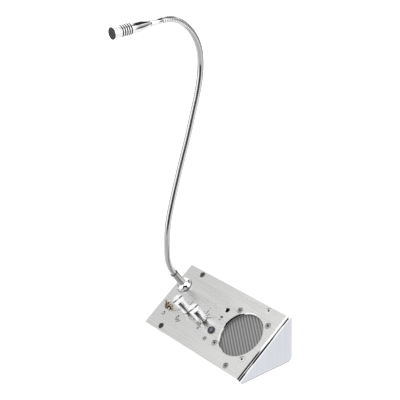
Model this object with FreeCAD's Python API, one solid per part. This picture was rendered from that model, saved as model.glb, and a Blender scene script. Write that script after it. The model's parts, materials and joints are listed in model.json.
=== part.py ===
import FreeCAD, Part
import math
import os

Vector = FreeCAD.Vector
Placement = FreeCAD.Placement
Rotation = FreeCAD.Rotation

# Counter intercom for a teller's window: a folded steel wedge with a sloping face plate that carries the
# speaker, the controls and a bendable microphone neck.
# Frame: +Z up, +X along the face plate, -Y towards the teller, origin on the counter under the middle
# of the base. Millimetres and degrees.
# On the face plate, u runs along it from its left end, v up its slope from the front edge, and n out of it.

# Face plate
plate_length = 150.6
plate_rise = 79.6
plate_thickness = 2.0
edge_break = 0.6
slope = 35.0

# Folded housing
sheet = 1.2
front_depth = 6.9
back_reach = 6.4
flange_long = 9.0
flange_end = 5.0
flange_bend = 2.5
top_bend = 3.0
back_bend = 5.5
front_bend = 1.5
window_corner = 3.0
pad_thickness = 1.5
pad_inset = 6.0
pad_corner = 4.0

# Countersunk screws with a hexagon socket, M3, and their nuts
screw_radius = 1.5
screw_head = 3.2
screw_sink = 0.1
socket_across = 2.0
socket_depth = 1.2
hole_clearance = 0.15
thread_clearance = 0.05
face_screw_length = 6.0
face_screw_from_end = 23.3
face_screw_from_front = 5.6
face_screw_from_back = 4.9
clinch_radius = 2.45
clinch_height = 1.6
nut_across = 5.5
nut_height = 2.4
speaker_screw_length = 10.0

# Speaker, behind a slotted grille that a spacer sets back from the plate
speaker_from_end = 32.8
speaker_above_middle = 0.3
speaker_opening = 24.5
opening_bevel = 0.3
spacer_opening = 24.3
spacer_thickness = 1.6
speaker_half_pitch = 20.75
speaker_half_side = 25.9
speaker_corner = 5.2
grille_thickness = 0.8
slot_pitch = 3.04
slot_width = 1.4
slot_angle = -37.0
slot_shift = 0.17
slot_reach = 25.1
cloth_thickness = 0.3
frame_thickness = 1.0
cone_opening = 23.6
basket_wall = 2.6
basket_depth = 8.4
basket_sheet = 0.8
basket_base = 12.0
basket_window = 9.0
magnet_radius = 14.5
magnet_depth = 6.0
yoke_radius = 13.0
yoke_depth = 1.4
coil_radius = 6.6
gap_radius = 7.2
pole_radius = 5.9
cone_clearance = 0.5
cone_travel = 0.8
cone_sheet = 0.5
roll_rise = 0.7
roll_width = 2.4
cap_rise = 2.2

# Row of controls: the least space from the middle of each to the next, and what is left is shared out
talk_space = 20.0
listen_space = 23.0
lamp_space = 17.3
speaker_space = 31.7

# Volume controls: small potentiometers under tall round knobs
control_v = 34.2
knob_radius = 5.8
knob_lift = 0.8
knob_top = 19.2
knob_edge = 0.5
knob_dish = 0.4
knob_recess = 4.95
knob_recess_depth = 3.4
pointer_width = 0.9
pointer_depth = 0.5
pointer_rest = -17.5
shaft_radius = 2.0
shaft_flat = 1.5
shaft_top = 14.5
running_clearance = 0.06
bushing_radius = 2.95
bushing_top = 3.4
pot_width = 11.5
pot_height = 12.0
pot_depth = 6.8
pot_pin_length = 4.5
grub_radius = 1.4
grub_height = 7.0
grub_sink = 0.7
grub_socket_across = 1.3
grub_socket_depth = 1.2
washer_thickness = 0.5
bushing_nut_across = 8.0
bushing_nut_height = 2.0

# Power switch
switch_u = 14.6
switch_v = 27.5
switch_width = 8.0
switch_length = 13.2
switch_depth = 9.2
switch_bushing_top = 4.4
lever_pivot = 2.4
lever_ball = 1.9
lever_neck = 1.05
lever_tip = 1.45
lever_length = 8.6
lever_throw = 11.0
lever_mouth = 2.55
switch_pin_length = 3.5

# Indicator lamp
lamp_v = 28.6
bezel_radius = 4.2
bezel_height = 1.3
bezel_body = 3.05
bezel_depth = 7.0
lamp_radius = 2.5
lamp_dome = 1.1

# Headset microphone socket, 3.5 mm
jack_v = 54.8
jack_bore = 1.8
jack_nose = 2.3
jack_recess = 0.2
jack_width = 7.5
jack_height = 9.0
jack_depth = 12.0
jack_wall = 1.0

# Microphone neck
neck_u = 12.6
neck_v = 55.3
neck_radius = 3.4
neck_bore = 1.8
neck_piece = 23.14
neck_gap = 0.9
neck_turns = [33.9, 7.1, 10.3, 2.5, 0.5, 1.5, -3.2, 1.1, -6.8, -14.0, -27.1, -25.8, -37.1]
flange_radius = 9.5
flange_height = 0.9
dome_radius = 7.9
dome_height = 6.2
stud_radius = 4.0
stud_length = 8.5
stud_nut_across = 12.0
stud_nut_height = 4.0
stud_washer_radius = 6.4
stud_washer_thickness = 1.0
ferrule_radius = 4.3
ferrule_length = 18.0
ferrule_seat = 9.0
ferrule_lip = 0.4
seat_clearance = 0.05

# Microphone
sleeve_radius = 3.1
sleeve_length = 16.0
cone_start = 2.75
cone_length = 12.5
mic_radius = 6.0
mic_length = 31.0
mic_edge = 0.3
groove_count = 5
groove_pitch = 2.5
groove_width = 1.25
groove_depth = 1.4
groove_start = 6.5
mic_cavity = 5.3
mic_cavity_depth = 10.0
mic_grille_thickness = 0.8
mic_grille_recess = 0.2
mic_hole_radius = 0.45
mic_hole_pitch = 1.45
mic_hole_rings = 3
capsule_radius = 4.85
capsule_depth = 6.0
capsule_gap = 0.3

# Circuit board on the housing's floor
board_length = 62.0
board_width = 36.0
board_thickness = 1.6
board_x = -19.0
board_y = 7.0
board_hole_inset = 3.5
standoff_height = 5.0
standoff_radius = 2.6
board_screw_head = 2.8
board_screw_head_height = 2.0
board_screw_length = 4.0

# Parts on the circuit board, their places counted from its middle
can_edge = 0.4
large_can_radius = 3.2
large_can_height = 8.0
large_can_places = [(-8.0, 11.0), (-1.0, 4.0)]
small_can_radius = 2.5
small_can_height = 5.5
small_can_places = [(22.0, 4.0)]
chip_places = [(-12.0, 0.0), (10.0, 0.0)]
chip_length = 10.0
chip_width = 6.4
chip_lift = 0.5
chip_height = 3.1
chip_leg_width = 0.6
chip_leg_pitch = 2.4
chip_leg_reach = 1.3
header_places = [(-24.0, 2.0), (-24.0, -8.0), (24.0, -6.0)]
header_width = 5.6
header_length = 7.5
header_height = 5.0
header_wall = 0.7
header_floor = 1.2
header_pin_radius = 0.35
header_pin_pitch = 2.54

# Sockets in the back wall
inlet_x = -42.0
line_x = -12.0
socket_z = 19.0
inlet_barrel = 3.9
inlet_bore = 2.85
inlet_pin = 1.0
inlet_flange = 5.5
inlet_flange_height = 2.0
inlet_length = 12.0
inlet_pin_reach = 8.0
inlet_nut_across = 10.0
inlet_nut_height = 2.2
line_barrel = 2.9
line_nose = 2.6
line_body = 8.0
line_depth = 12.0

# Worked out from the sizes above
tilt = math.radians(slope)
front_drop = plate_thickness + front_depth
front_lean = front_drop * math.sin(tilt)
base_depth = plate_rise * math.cos(tilt) + back_reach - front_lean
back_y = base_depth / 2
speaker_u = plate_length - speaker_from_end
speaker_v = plate_rise / 2 + speaker_above_middle
row_spare = (speaker_u - switch_u - talk_space - listen_space - lamp_space - speaker_space) / 4
talk_u = switch_u + talk_space + row_spare
listen_u = talk_u + listen_space + row_spare
lamp_u = listen_u + lamp_space + row_spare
PLATE = Placement(
    Vector(0, -base_depth / 2 - front_lean, pad_thickness + front_drop * math.cos(tilt)),
    Rotation(Vector(1, 0, 0), slope),
)
UP = Vector(0, 0, 1)
grille_front = -plate_thickness - spacer_thickness
grille_back = grille_front - grille_thickness
frame_front = grille_back - cloth_thickness
frame_back = frame_front - frame_thickness


def placed(shape, placement):
    """A copy of a shape, carried by a placement."""
    copy = shape.copy()
    copy.Placement = placement.multiply(copy.Placement)
    return copy


def moved(shape, x, y, z=0.0):
    return placed(shape, Placement(Vector(x, y, z), Rotation()))


def on_plate(shape, u, v):
    """A shape drawn about its own Z axis, set on the face plate at (u, v) with Z out of the plate."""
    return placed(moved(shape, u - plate_length / 2, v), PLATE)


def fused(shapes):
    """One solid from several that meet."""
    joined = shapes[0].fuse(shapes[1:]).removeSplitter()
    return joined.Solids[0] if len(joined.Solids) == 1 else joined


def outline(points):
    """A closed wire in the XZ plane: (r, h) is a line's end, (r, h, r, h) an arc's middle and end."""
    edges = []
    last = Vector(points[0][0], 0, points[0][1])
    for point in list(points[1:]) + [points[0]]:
        end = Vector(point[-2], 0, point[-1])
        if len(point) == 4:
            edges.append(Part.Arc(last, Vector(point[0], 0, point[1]), end).toShape())
        elif (end - last).Length > 1e-6:
            edges.append(Part.LineSegment(last, end).toShape())
        last = end
    return Part.Wire(edges)


def turned(*points):
    """A solid of revolution about Z from an outline of radii and heights."""
    return Part.Face(outline(points)).revolve(Vector(0, 0, 0), UP, 360)


def cap(radius, low, rise):
    """The arc of a round cap, from its rim in to the axis: a part of a sphere centred on the axis."""
    sphere = (radius**2 + rise**2) / (2 * rise)
    half = math.asin(radius / abs(sphere)) / 2
    return (abs(sphere) * math.sin(half), low + rise - sphere * (1 - math.cos(half)), 0, low + rise)


def drum(radius, low, high):
    return Part.makeCylinder(radius, high - low, Vector(0, 0, low))


def ring(outer, inner, low, high):
    return turned((inner, low), (outer, low), (outer, high), (inner, high))


def rounded_wire(corners, radii):
    """A closed wire through convex corners, each rounded by an arc of its own radius."""
    arcs = []
    before = corners[-1:] + corners[:-1]
    after = corners[1:] + corners[:1]
    for back, here, ahead, radius in zip(before, corners, after, radii):
        arriving = (here - back).normalize()
        leaving = (ahead - here).normalize()
        half = (math.pi - arriving.getAngle(leaving)) / 2
        reach = radius / math.tan(half)
        inward = (leaving - arriving).normalize()
        middle = here + inward * (radius / math.sin(half) - radius)
        arcs.append((here - arriving * reach, middle, here + leaving * reach))
    edges = []
    for this, following in zip(arcs, arcs[1:] + arcs[:1]):
        edges.append(Part.Arc(*this).toShape())
        edges.append(Part.LineSegment(this[2], following[0]).toShape())
    return Part.Wire(edges)


def slab(width, height, corner, low, high):
    """A plate of that width along X and height along Y, with rounded corners."""
    x, y = width / 2, height / 2
    corners = [Vector(-x, -y, low), Vector(x, -y, low), Vector(x, y, low), Vector(-x, y, low)]
    return Part.Face(rounded_wire(corners, [corner] * 4)).extrude(Vector(0, 0, high - low))


def block(width, height, low, high):
    return Part.makeBox(width, height, high - low, Vector(-width / 2, -height / 2, low))


def hexagon(across, low, high):
    radius = across / 2 / math.cos(math.pi / 6)
    corners = [
        Vector(radius * math.sin(i * math.pi / 3), radius * math.cos(i * math.pi / 3), low) for i in range(7)
    ]
    return Part.Face(Part.makePolygon(corners)).extrude(Vector(0, 0, high - low))


def hex_nut(across, bore, low, high):
    """A nut whose corners are turned off at both faces."""
    corner = across / 2 / math.cos(math.pi / 6)
    relief = corner - across / 2
    crown = turned(
        (0, low),
        (across / 2, low),
        (corner, low + relief / 2),
        (corner, high - relief / 2),
        (across / 2, high),
        (0, high),
    )
    return hexagon(across, low, high).common(crown).cut(drum(bore, low - 1, high + 1))


def square_places(half):
    return [(x, y) for x in (-half, half) for y in (-half, half)]


# ---------------------------------------------------------------- housing


def housing_corners():
    """The side outline's corners in the YZ plane, anticlockwise from the front's lower one."""
    low = PLATE.multVec(Vector(0, 0, -front_drop))
    high = PLATE.multVec(Vector(0, 0, -plate_thickness))
    top = high.z + (back_y - high.y) * math.tan(tilt)
    return [low, Vector(0, back_y, low.z), Vector(0, back_y, top), high]


def inset(corners, distance):
    """The corners of the outline that lies this far inside a convex one."""
    moved = []
    for back, here, ahead in zip(corners[-1:] + corners[:-1], corners, corners[1:] + corners[:1]):
        first = Vector(1, 0, 0).cross((here - back).normalize())
        second = Vector(1, 0, 0).cross((ahead - here).normalize())
        moved.append(here + (first + second) * (distance / (1 + first.dot(second))))
    return moved


def wedge(depth):
    """The housing's wedge, that far inside its outer faces."""
    radii = [r - depth if r > depth else 0.3 for r in (front_bend, back_bend, top_bend, flange_bend)]
    side = rounded_wire(inset(housing_corners(), depth), radii)
    half = plate_length / 2 - depth
    body = moved(Part.Face(side).extrude(Vector(2 * half, 0, 0)), -half, 0)
    top = -plate_thickness - depth
    low = top - 2 * base_depth
    bend = flange_bend - depth
    section = [Vector(half, 0, low), Vector(half, 0, top), Vector(-half, 0, top), Vector(-half, 0, low)]
    along = Part.Face(rounded_wire(section, [bend] * 4)).extrude(Vector(0, 3 * base_depth, 0))
    return body.common(placed(moved(along, 0, -base_depth), PLATE))


def back_socket(shape, x):
    """A shape drawn about Z, set in the back wall with Z out of its outer face."""
    return placed(shape, Placement(Vector(x, back_y, socket_z), Rotation(Vector(1, 0, 0), -90)))


def face_screw_places():
    ends = (face_screw_from_end, plate_length - face_screw_from_end)
    edges = (face_screw_from_front, plate_rise - face_screw_from_back)
    return [(u, v) for u in ends for v in edges]


def speaker_screw_places():
    return [(speaker_u + x, speaker_v + y) for x, y in square_places(speaker_half_pitch)]


def housing():
    """Folded sheet with a flange all round under the face plate."""
    shell = wedge(0).cut(wedge(sheet))
    window = slab(
        plate_length - 2 * flange_end,
        plate_rise - 2 * flange_long,
        window_corner,
        -plate_thickness - 2 * sheet,
        0,
    )
    cuts = [on_plate(window, plate_length / 2, plate_rise / 2)]
    hole = drum(screw_radius + hole_clearance, -plate_thickness - 2 * sheet, 0)
    cuts += [on_plate(hole, u, v) for u, v in face_screw_places()]
    cuts.append(back_socket(drum(inlet_barrel + hole_clearance, -2 * sheet, sheet), inlet_x))
    cuts.append(back_socket(drum(line_barrel + hole_clearance, -2 * sheet, sheet), line_x))
    return shell.cut(cuts)


def base_pad():
    """Rubber sheet that the housing stands on."""
    return slab(plate_length - 2 * pad_inset, base_depth - 2 * pad_inset, pad_corner, 0, pad_thickness)


# ---------------------------------------------------------------- face plate and its fasteners


def countersink():
    """The hole of a countersunk screw, with its top at the plate's outer face."""
    hole = screw_radius + hole_clearance
    top = screw_head + screw_sink + thread_clearance
    low = -plate_thickness - 1
    return turned((0, low), (hole, low), (hole, hole - top), (top, 0), (top, 1), (0, 1))


def face_plate():
    plate = block(plate_length, plate_rise, -plate_thickness, 0)
    rim = [e for e in plate.Edges if e.BoundBox.ZMin > -1e-6]
    plate = moved(plate.makeChamfer(edge_break, rim), plate_length / 2, plate_rise / 2)
    cuts = []

    def cut(shape, u, v):
        cuts.append(moved(shape, u, v))

    def hole(radius, u, v, chamfer):
        cut(
            turned(
                (0, -plate_thickness - 1),
                (radius, -plate_thickness - 1),
                (radius, -chamfer),
                (radius + chamfer, 0),
                (radius + chamfer, 1),
                (0, 1),
            ),
            u,
            v,
        )

    for u, v in face_screw_places() + speaker_screw_places():
        cut(countersink(), u, v)
    hole(speaker_opening, speaker_u, speaker_v, opening_bevel)
    hole(bushing_radius + hole_clearance, talk_u, control_v, 0.2)
    hole(bushing_radius + hole_clearance, listen_u, control_v, 0.2)
    hole(bushing_radius + hole_clearance, switch_u, switch_v, 0.2)
    hole(bezel_body + hole_clearance, lamp_u, lamp_v, 0.2)
    hole(jack_nose + hole_clearance, lamp_u, jack_v, 0.4)
    hole(stud_radius + hole_clearance, neck_u, neck_v, 0.2)
    return on_plate(plate.cut(cuts), 0, 0)


def countersunk_screw(length):
    top = -screw_sink
    cone = top - (screw_head - screw_radius)
    tip = top - length
    body = turned(
        (0, tip),
        (screw_radius - 0.4, tip),
        (screw_radius, tip + 0.4),
        (screw_radius, cone),
        (screw_head, top),
        (0, top),
    )
    return body.cut(hexagon(socket_across, top - socket_depth, top + 1))


def face_screws():
    return [on_plate(countersunk_screw(face_screw_length), u, v) for u, v in face_screw_places()]


def clinch_nuts():
    """Threaded collars pressed under the flange, one for each face screw."""
    top = -plate_thickness - sheet
    nut = ring(clinch_radius, screw_radius + thread_clearance, top - clinch_height, top)
    return [on_plate(nut, u, v) for u, v in face_screw_places()]


# ---------------------------------------------------------------- speaker


def speaker_screws():
    return [on_plate(countersunk_screw(speaker_screw_length), u, v) for u, v in speaker_screw_places()]


def speaker_nuts():
    nut = hex_nut(nut_across, screw_radius + thread_clearance, frame_back - nut_height, frame_back)
    return [on_plate(nut, u, v) for u, v in speaker_screw_places()]


def screw_holes(low, high):
    hole = drum(screw_radius + hole_clearance, low - 1, high + 1)
    return [moved(hole, x, y) for x, y in square_places(speaker_half_pitch)]


def speaker_spacer():
    """Flat square ring between the plate and the grille."""
    side = 2 * speaker_half_side
    spacer = slab(side, side, speaker_corner, grille_front, -plate_thickness)
    opening = drum(spacer_opening, grille_front - 1, 0)
    return on_plate(spacer.cut([opening] + screw_holes(grille_front, 0)), speaker_u, speaker_v)


def speaker_grille():
    """Sheet with slanted slots, each as long as the round opening lets it be."""
    side = 2 * speaker_half_side
    sheet_metal = slab(side, side, speaker_corner, grille_back, grille_front)
    turn = Placement(Vector(0, 0, 0), Rotation(UP, slot_angle))
    slots = []
    count = int((slot_reach - slot_width - abs(slot_shift)) / slot_pitch + 0.5)
    for i in range(-count, count):
        across = (i + 0.5) * slot_pitch + slot_shift
        half = math.sqrt(slot_reach**2 - (abs(across) + slot_width / 2) ** 2)
        slot = slab(2 * half, slot_width, slot_width / 2 - 0.01, grille_back - 1, 0)
        slots.append(placed(moved(slot, 0, across), turn))
    return on_plate(sheet_metal.cut(slots + screw_holes(grille_back, 0)), speaker_u, speaker_v)


def speaker_cloth():
    return on_plate(drum(slot_reach, frame_front, grille_back), speaker_u, speaker_v)


def speaker_frame():
    """Square-flanged pressed basket with four windows."""
    side = 2 * speaker_half_side
    flange = slab(side, side, speaker_corner, frame_back, frame_front)
    mouth = drum(cone_opening, frame_back - 1, frame_front + 1)
    flange = flange.cut([mouth] + screw_holes(frame_back, frame_front))
    low = frame_back - basket_depth
    rim = cone_opening + basket_sheet
    bowl = turned(
        (cone_opening, frame_back),
        (rim, frame_back),
        (rim, frame_back - basket_wall),
        (basket_base + basket_sheet, low),
        (gap_radius, low),
        (gap_radius, low + basket_sheet),
        (basket_base, low + basket_sheet),
        (cone_opening, frame_back - basket_wall),
    )
    corner = Vector(basket_base, -basket_window / 2, low + 1.8)
    window = Part.makeBox(2 * cone_opening, basket_window, basket_depth * 0.4, corner)
    windows = [placed(window, Placement(Vector(0, 0, 0), Rotation(UP, turn))) for turn in (0, 90, 180, 270)]
    return on_plate(fused([flange, bowl.cut(windows)]), speaker_u, speaker_v)


def speaker_magnet():
    """Ring magnet with its yoke and centre pole, glued under the basket."""
    top = frame_back - basket_depth
    middle = top - magnet_depth
    low = middle - yoke_depth
    magnet = turned(
        (gap_radius, top),
        (magnet_radius, top),
        (magnet_radius, middle),
        (yoke_radius, middle),
        (yoke_radius, low),
        (0, low),
        (0, top + basket_sheet),
        (pole_radius, top + basket_sheet),
        (pole_radius, middle),
        (gap_radius, middle),
    )
    return on_plate(magnet, speaker_u, speaker_v)


def speaker_cone():
    """Surround roll, paper cone, dust cap and voice coil, one moving piece."""
    top = frame_front - cone_travel - cone_clearance - roll_rise
    edge = cone_opening - cone_clearance
    roll = edge - roll_width
    throat = frame_back - basket_depth + 3.4
    coil_low = frame_back - basket_depth - 2.4
    inner = cap(coil_radius - 0.4, throat - cone_sheet, cap_rise)
    cone = turned(
        (edge, top - cone_sheet),
        (edge, top),
        ((edge + roll) / 2, top + roll_rise, roll, top),
        (coil_radius, throat),
        cap(coil_radius, throat, cap_rise),
        (0, throat + cap_rise - cone_sheet),
        (inner[0], inner[1], coil_radius - 0.4, throat - cone_sheet),
        (coil_radius - 0.4, coil_low),
        (coil_radius, coil_low),
        (coil_radius, throat - cone_sheet),
        (roll, top - cone_sheet),
        ((edge + roll) / 2, top + roll_rise - cone_sheet, edge, top - cone_sheet),
    )
    return on_plate(cone, speaker_u, speaker_v)


# ---------------------------------------------------------------- volume controls


def potentiometer():
    """Body, threaded bushing and three pins."""
    top = -plate_thickness
    body = slab(pot_width, pot_height, 0.8, top - pot_depth, top)
    bushing = drum(bushing_radius, top - 1, bushing_top)
    shell = fused([body, bushing]).cut(
        drum(shaft_radius + running_clearance, top - pot_depth + 1.4, bushing_top + 1)
    )
    pins = []
    for i in (-1, 0, 1):
        pin = Part.makeBox(
            0.9, pot_pin_length + 1, 0.4, Vector(2.54 * i - 0.45, -pot_height / 2 - pot_pin_length, top - 4.6)
        )
        pins.append(pin)
    return fused([shell] + pins)


def shaft():
    """Round shaft, flattened on one side where the knob sits."""
    low = -plate_thickness - pot_depth + 1.4 + running_clearance
    rod = drum(shaft_radius, low, shaft_top)
    flat = Part.makeBox(
        4 * shaft_radius, shaft_radius, shaft_top, Vector(-2 * shaft_radius, shaft_flat, bushing_top + 0.3)
    )
    return rod.cut(flat)


def bushing_nut(lift):
    """A washer and a thin nut on a bushing's thread."""
    bore = bushing_radius + thread_clearance
    top = lift + bushing_nut_height
    return [ring(bushing_nut_across / 2 + 0.4, bore, 0, lift), hex_nut(bushing_nut_across, bore, lift, top)]


def knob():
    """Tall plain knob with a dished top, a pointer slot across it and a grub screw's hole."""
    dish = knob_radius - 1.1
    body = turned(
        (0, knob_lift),
        (knob_radius - 0.2, knob_lift),
        (knob_radius, knob_lift + 0.2),
        (knob_radius, knob_top - knob_edge),
        (knob_radius - knob_edge * 0.3, knob_top - knob_edge * 0.3, knob_radius - knob_edge, knob_top),
        (dish, knob_top),
        cap(dish, knob_top, -knob_dish),
    )
    bore = drum(shaft_radius + thread_clearance, knob_lift, shaft_top + thread_clearance)
    flat = Part.makeBox(
        4 * shaft_radius, shaft_radius, knob_top, Vector(-2 * shaft_radius, shaft_flat + thread_clearance, 0)
    )
    recess = drum(knob_recess, knob_lift - 1, knob_lift + knob_recess_depth)
    pointer = block(pointer_width, 2 * knob_radius + 2, knob_top - knob_dish - pointer_depth, knob_top + 1)
    screw_hole = Part.makeCylinder(
        grub_radius + thread_clearance, knob_radius, Vector(0, 0, grub_height), Vector(0, 1, 0)
    )
    return body.cut([bore.cut(flat), recess, pointer, screw_hole])


def grub_screw():
    low = shaft_flat + thread_clearance
    outward = Rotation(Vector(1, 0, 0), -90)
    screw = drum(grub_radius, low, knob_radius - grub_sink)
    screw = screw.cut(hexagon(grub_socket_across, knob_radius - grub_sink - grub_socket_depth, knob_radius))
    return placed(screw, Placement(Vector(0, 0, grub_height), outward))


def at_rest_angle(shape):
    return placed(shape, Placement(Vector(0, 0, 0), Rotation(UP, pointer_rest)))


# ---------------------------------------------------------------- power switch


def switch_body():
    """Case, threaded bushing with a flared mouth, and three pins."""
    top = -plate_thickness
    case = slab(switch_width, switch_length, 0.5, top - switch_depth, top)
    bushing = drum(bushing_radius, top - 1, switch_bushing_top)
    seat = lever_pivot - lever_ball - 0.4
    mouth = turned(
        (0, seat),
        (lever_ball + 0.1, seat),
        (lever_ball + 0.1, lever_pivot),
        (lever_mouth, switch_bushing_top),
        (lever_mouth, switch_bushing_top + 1),
        (0, switch_bushing_top + 1),
    )
    pins = []
    for i in (-1, 0, 1):
        pin = block(2.0, 0.8, top - switch_depth - switch_pin_length, top - switch_depth + 1)
        pins.append(moved(pin, 0, 4.7 * i))
    return fused([case, bushing] + pins).cut(mouth)


def switch_lever():
    """Bat-shaped lever with its ball, thrown up the slope."""
    waist = math.sqrt(lever_ball**2 - lever_neck**2)
    shoulder = lever_ball * math.sqrt(0.5)
    bat = turned(
        (0, -lever_ball),
        (shoulder, -shoulder, lever_ball, 0),
        (math.sqrt(lever_ball**2 - (waist / 2) ** 2), waist / 2, lever_neck, waist),
        (lever_tip, lever_length - lever_tip),
        (lever_tip * math.sqrt(0.5), lever_length - lever_tip * (1 - math.sqrt(0.5)), 0, lever_length),
    )
    return placed(bat, Placement(Vector(0, 0, lever_pivot), Rotation(Vector(1, 0, 0), -lever_throw)))


# ---------------------------------------------------------------- lamp and headset socket


def lamp_bezel():
    return turned(
        (lamp_radius + thread_clearance, -bezel_depth),
        (bezel_body, -bezel_depth),
        (bezel_body, 0),
        (bezel_radius, 0),
        (bezel_radius, bezel_height * 0.4),
        (bezel_radius - 0.3, bezel_height - 0.2, bezel_radius - 1.0, bezel_height),
        (lamp_radius + thread_clearance, bezel_height),
    )


def lamp():
    high = bezel_height - 0.3
    body = turned(
        (0, -bezel_depth + 1),
        (lamp_radius, -bezel_depth + 1),
        (lamp_radius, high),
        cap(lamp_radius, high, lamp_dome),
    )
    legs = [moved(block(0.5, 0.5, -bezel_depth - 6, -bezel_depth + 1.5), x, 0) for x in (-1.27, 1.27)]
    return fused([body] + legs)


def mic_jack():
    low = -plate_thickness - jack_depth
    case = slab(jack_width, jack_height, 0.5, low, -plate_thickness)
    nose = drum(jack_nose, -plate_thickness - 1, -jack_recess)
    bore = drum(jack_bore, low + jack_wall, 1)
    return fused([case, nose]).cut(bore)


# ---------------------------------------------------------------- microphone neck


def advanced(frame, length, turn):
    """A frame carried along an arc that starts up its Z axis and bends towards its Y axis."""
    angle = math.radians(turn)
    if abs(turn) < 0.01:
        move = Vector(0, 0, length)
    else:
        radius = length / angle
        move = Vector(0, radius * (1 - math.cos(angle)), radius * math.sin(angle))
    return frame.multiply(Placement(move, Rotation(Vector(1, 0, 0), -turn)))


def neck_frames():
    """A frame at each end of the neck's pieces, its Z axis along the neck."""
    start = Vector(neck_u - plate_length / 2, neck_v, dome_height + ferrule_length)
    frames = [PLATE.multiply(Placement(start, Rotation()))]
    for turn in neck_turns:
        frames.append(advanced(frames[-1], neck_piece, turn))
    return frames


def bent_tube(frame, length, turn):
    """A stretch of the neck's tube along an arc from a frame."""
    section = Part.Face(Part.Wire(Part.makeCircle(neck_radius)))
    section = section.cut(Part.Face(Part.Wire(Part.makeCircle(neck_bore)))).Faces[0]
    if abs(turn) < 0.01:
        return placed(section.extrude(Vector(0, 0, length)), frame)
    radius = length / math.radians(turn)
    axis = Vector(-1 if turn > 0 else 1, 0, 0)
    return placed(section.revolve(Vector(0, radius, 0), axis, abs(turn)), frame)


def neck_pieces():
    """The bendable tube as short rigid pieces, each ending half a gap short of the bend between two."""
    frames = neck_frames()
    last = len(neck_turns) - 1
    pieces = []
    for i, turn in enumerate(neck_turns):
        before = 0.0 if i == 0 else neck_gap / 2
        after = 0.0 if i == last else neck_gap / 2
        rate = turn / neck_piece
        start = advanced(frames[i], before, before * rate)
        length = neck_piece - before - after
        pieces.append(bent_tube(start, length, length * rate))
    buried = ferrule_seat - seat_clearance
    root = frames[0].multiply(Placement(Vector(0, 0, -buried), Rotation()))
    pieces[0] = fused([bent_tube(root, buried, 0), pieces[0]])
    return pieces


def neck_flange():
    """Flanged dome with the threaded stud that holds the neck to the plate."""
    return turned(
        (neck_bore, -plate_thickness - stud_length),
        (stud_radius, -plate_thickness - stud_length),
        (stud_radius, 0),
        (flange_radius, 0),
        (flange_radius, flange_height - 0.4),
        (flange_radius - 0.12, flange_height - 0.12, flange_radius - 0.4, flange_height),
        (dome_radius, flange_height),
        (dome_radius * 0.86, dome_height * 0.69, ferrule_radius, dome_height),
        (neck_bore, dome_height),
    )


def neck_nut():
    top = -plate_thickness - stud_washer_thickness
    bore = stud_radius + thread_clearance
    return [
        ring(stud_washer_radius, bore, top, -plate_thickness),
        hex_nut(stud_nut_across, bore, top - stud_nut_height, top).rotate(Vector(0, 0, 0), UP, 30),
    ]


def neck_ferrule():
    """Sleeve that grips the foot of the neck."""
    top = dome_height + ferrule_length
    seat = neck_radius + seat_clearance
    return turned(
        (neck_bore, dome_height),
        (ferrule_radius, dome_height),
        (ferrule_radius, top - ferrule_lip),
        (ferrule_radius - ferrule_lip * 0.3, top - ferrule_lip * 0.3, ferrule_radius - ferrule_lip, top),
        (seat, top),
        (seat, top - ferrule_seat),
        (neck_bore, top - ferrule_seat),
    )


# ---------------------------------------------------------------- microphone


def mic_front():
    return sleeve_length + cone_length + mic_length


def mic_sleeve():
    return turned(
        (neck_bore, 0),
        (sleeve_radius - mic_edge, 0),
        (sleeve_radius, mic_edge),
        (sleeve_radius, sleeve_length - mic_edge),
        (sleeve_radius - mic_edge, sleeve_length),
        (neck_bore, sleeve_length),
    )


def mic_body():
    """Tapered shell with ring grooves and an open front."""
    front = mic_front()
    shoulder = sleeve_length + cone_length
    floor = front - mic_cavity_depth
    shell = turned(
        (neck_bore, sleeve_length),
        (cone_start, sleeve_length),
        (mic_radius, shoulder),
        (mic_radius, front - mic_edge),
        (mic_radius - mic_edge, front),
        (mic_cavity, front),
        (mic_cavity, floor),
        (neck_bore, floor),
    )
    core = mic_radius - groove_depth
    grooves = []
    for i in range(groove_count):
        low = shoulder + groove_start + i * groove_pitch
        grooves.append(ring(mic_radius + 1, core, low, low + groove_width))
    return shell.cut(grooves)


def mic_grille():
    """Round sheet with rings of holes."""
    top = mic_front() - mic_grille_recess
    disc = drum(mic_cavity - seat_clearance, top - mic_grille_thickness, top)
    holes = [drum(mic_hole_radius, top - 2, top + 1)]
    for ring_number in range(1, mic_hole_rings + 1):
        for i in range(6 * ring_number):
            angle = math.radians(60.0 * i / ring_number)
            radius = ring_number * mic_hole_pitch
            place = Vector(radius * math.cos(angle), radius * math.sin(angle), 0)
            holes.append(moved(holes[0], place.x, place.y))
    return disc.cut(holes)


def mic_capsule():
    top = mic_front() - mic_grille_recess - mic_grille_thickness - capsule_gap
    return drum(capsule_radius, top - capsule_depth, top)


# ---------------------------------------------------------------- circuit board


def on_board(shape, x, y, z=0.0):
    """A shape set on the board at a place counted from its middle, z from its upper face."""
    top = pad_thickness + sheet + standoff_height + board_thickness
    return moved(shape, board_x + x, board_y + y, top + z)


def board_hole_places():
    x = board_length / 2 - board_hole_inset
    y = board_width / 2 - board_hole_inset
    return [(sx * x, sy * y) for sx in (-1, 1) for sy in (-1, 1)]


def circuit_board():
    board = slab(board_length, board_width, 1.0, -board_thickness, 0)
    hole = drum(screw_radius + hole_clearance, -board_thickness - 1, 1)
    holes = [moved(hole, x, y) for x, y in board_hole_places()]
    return on_board(board.cut(holes), 0, 0)


def board_standoffs():
    low = -board_thickness - standoff_height
    post = ring(standoff_radius, screw_radius + thread_clearance, low, -board_thickness)
    return [on_board(post, x, y) for x, y in board_hole_places()]


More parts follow.
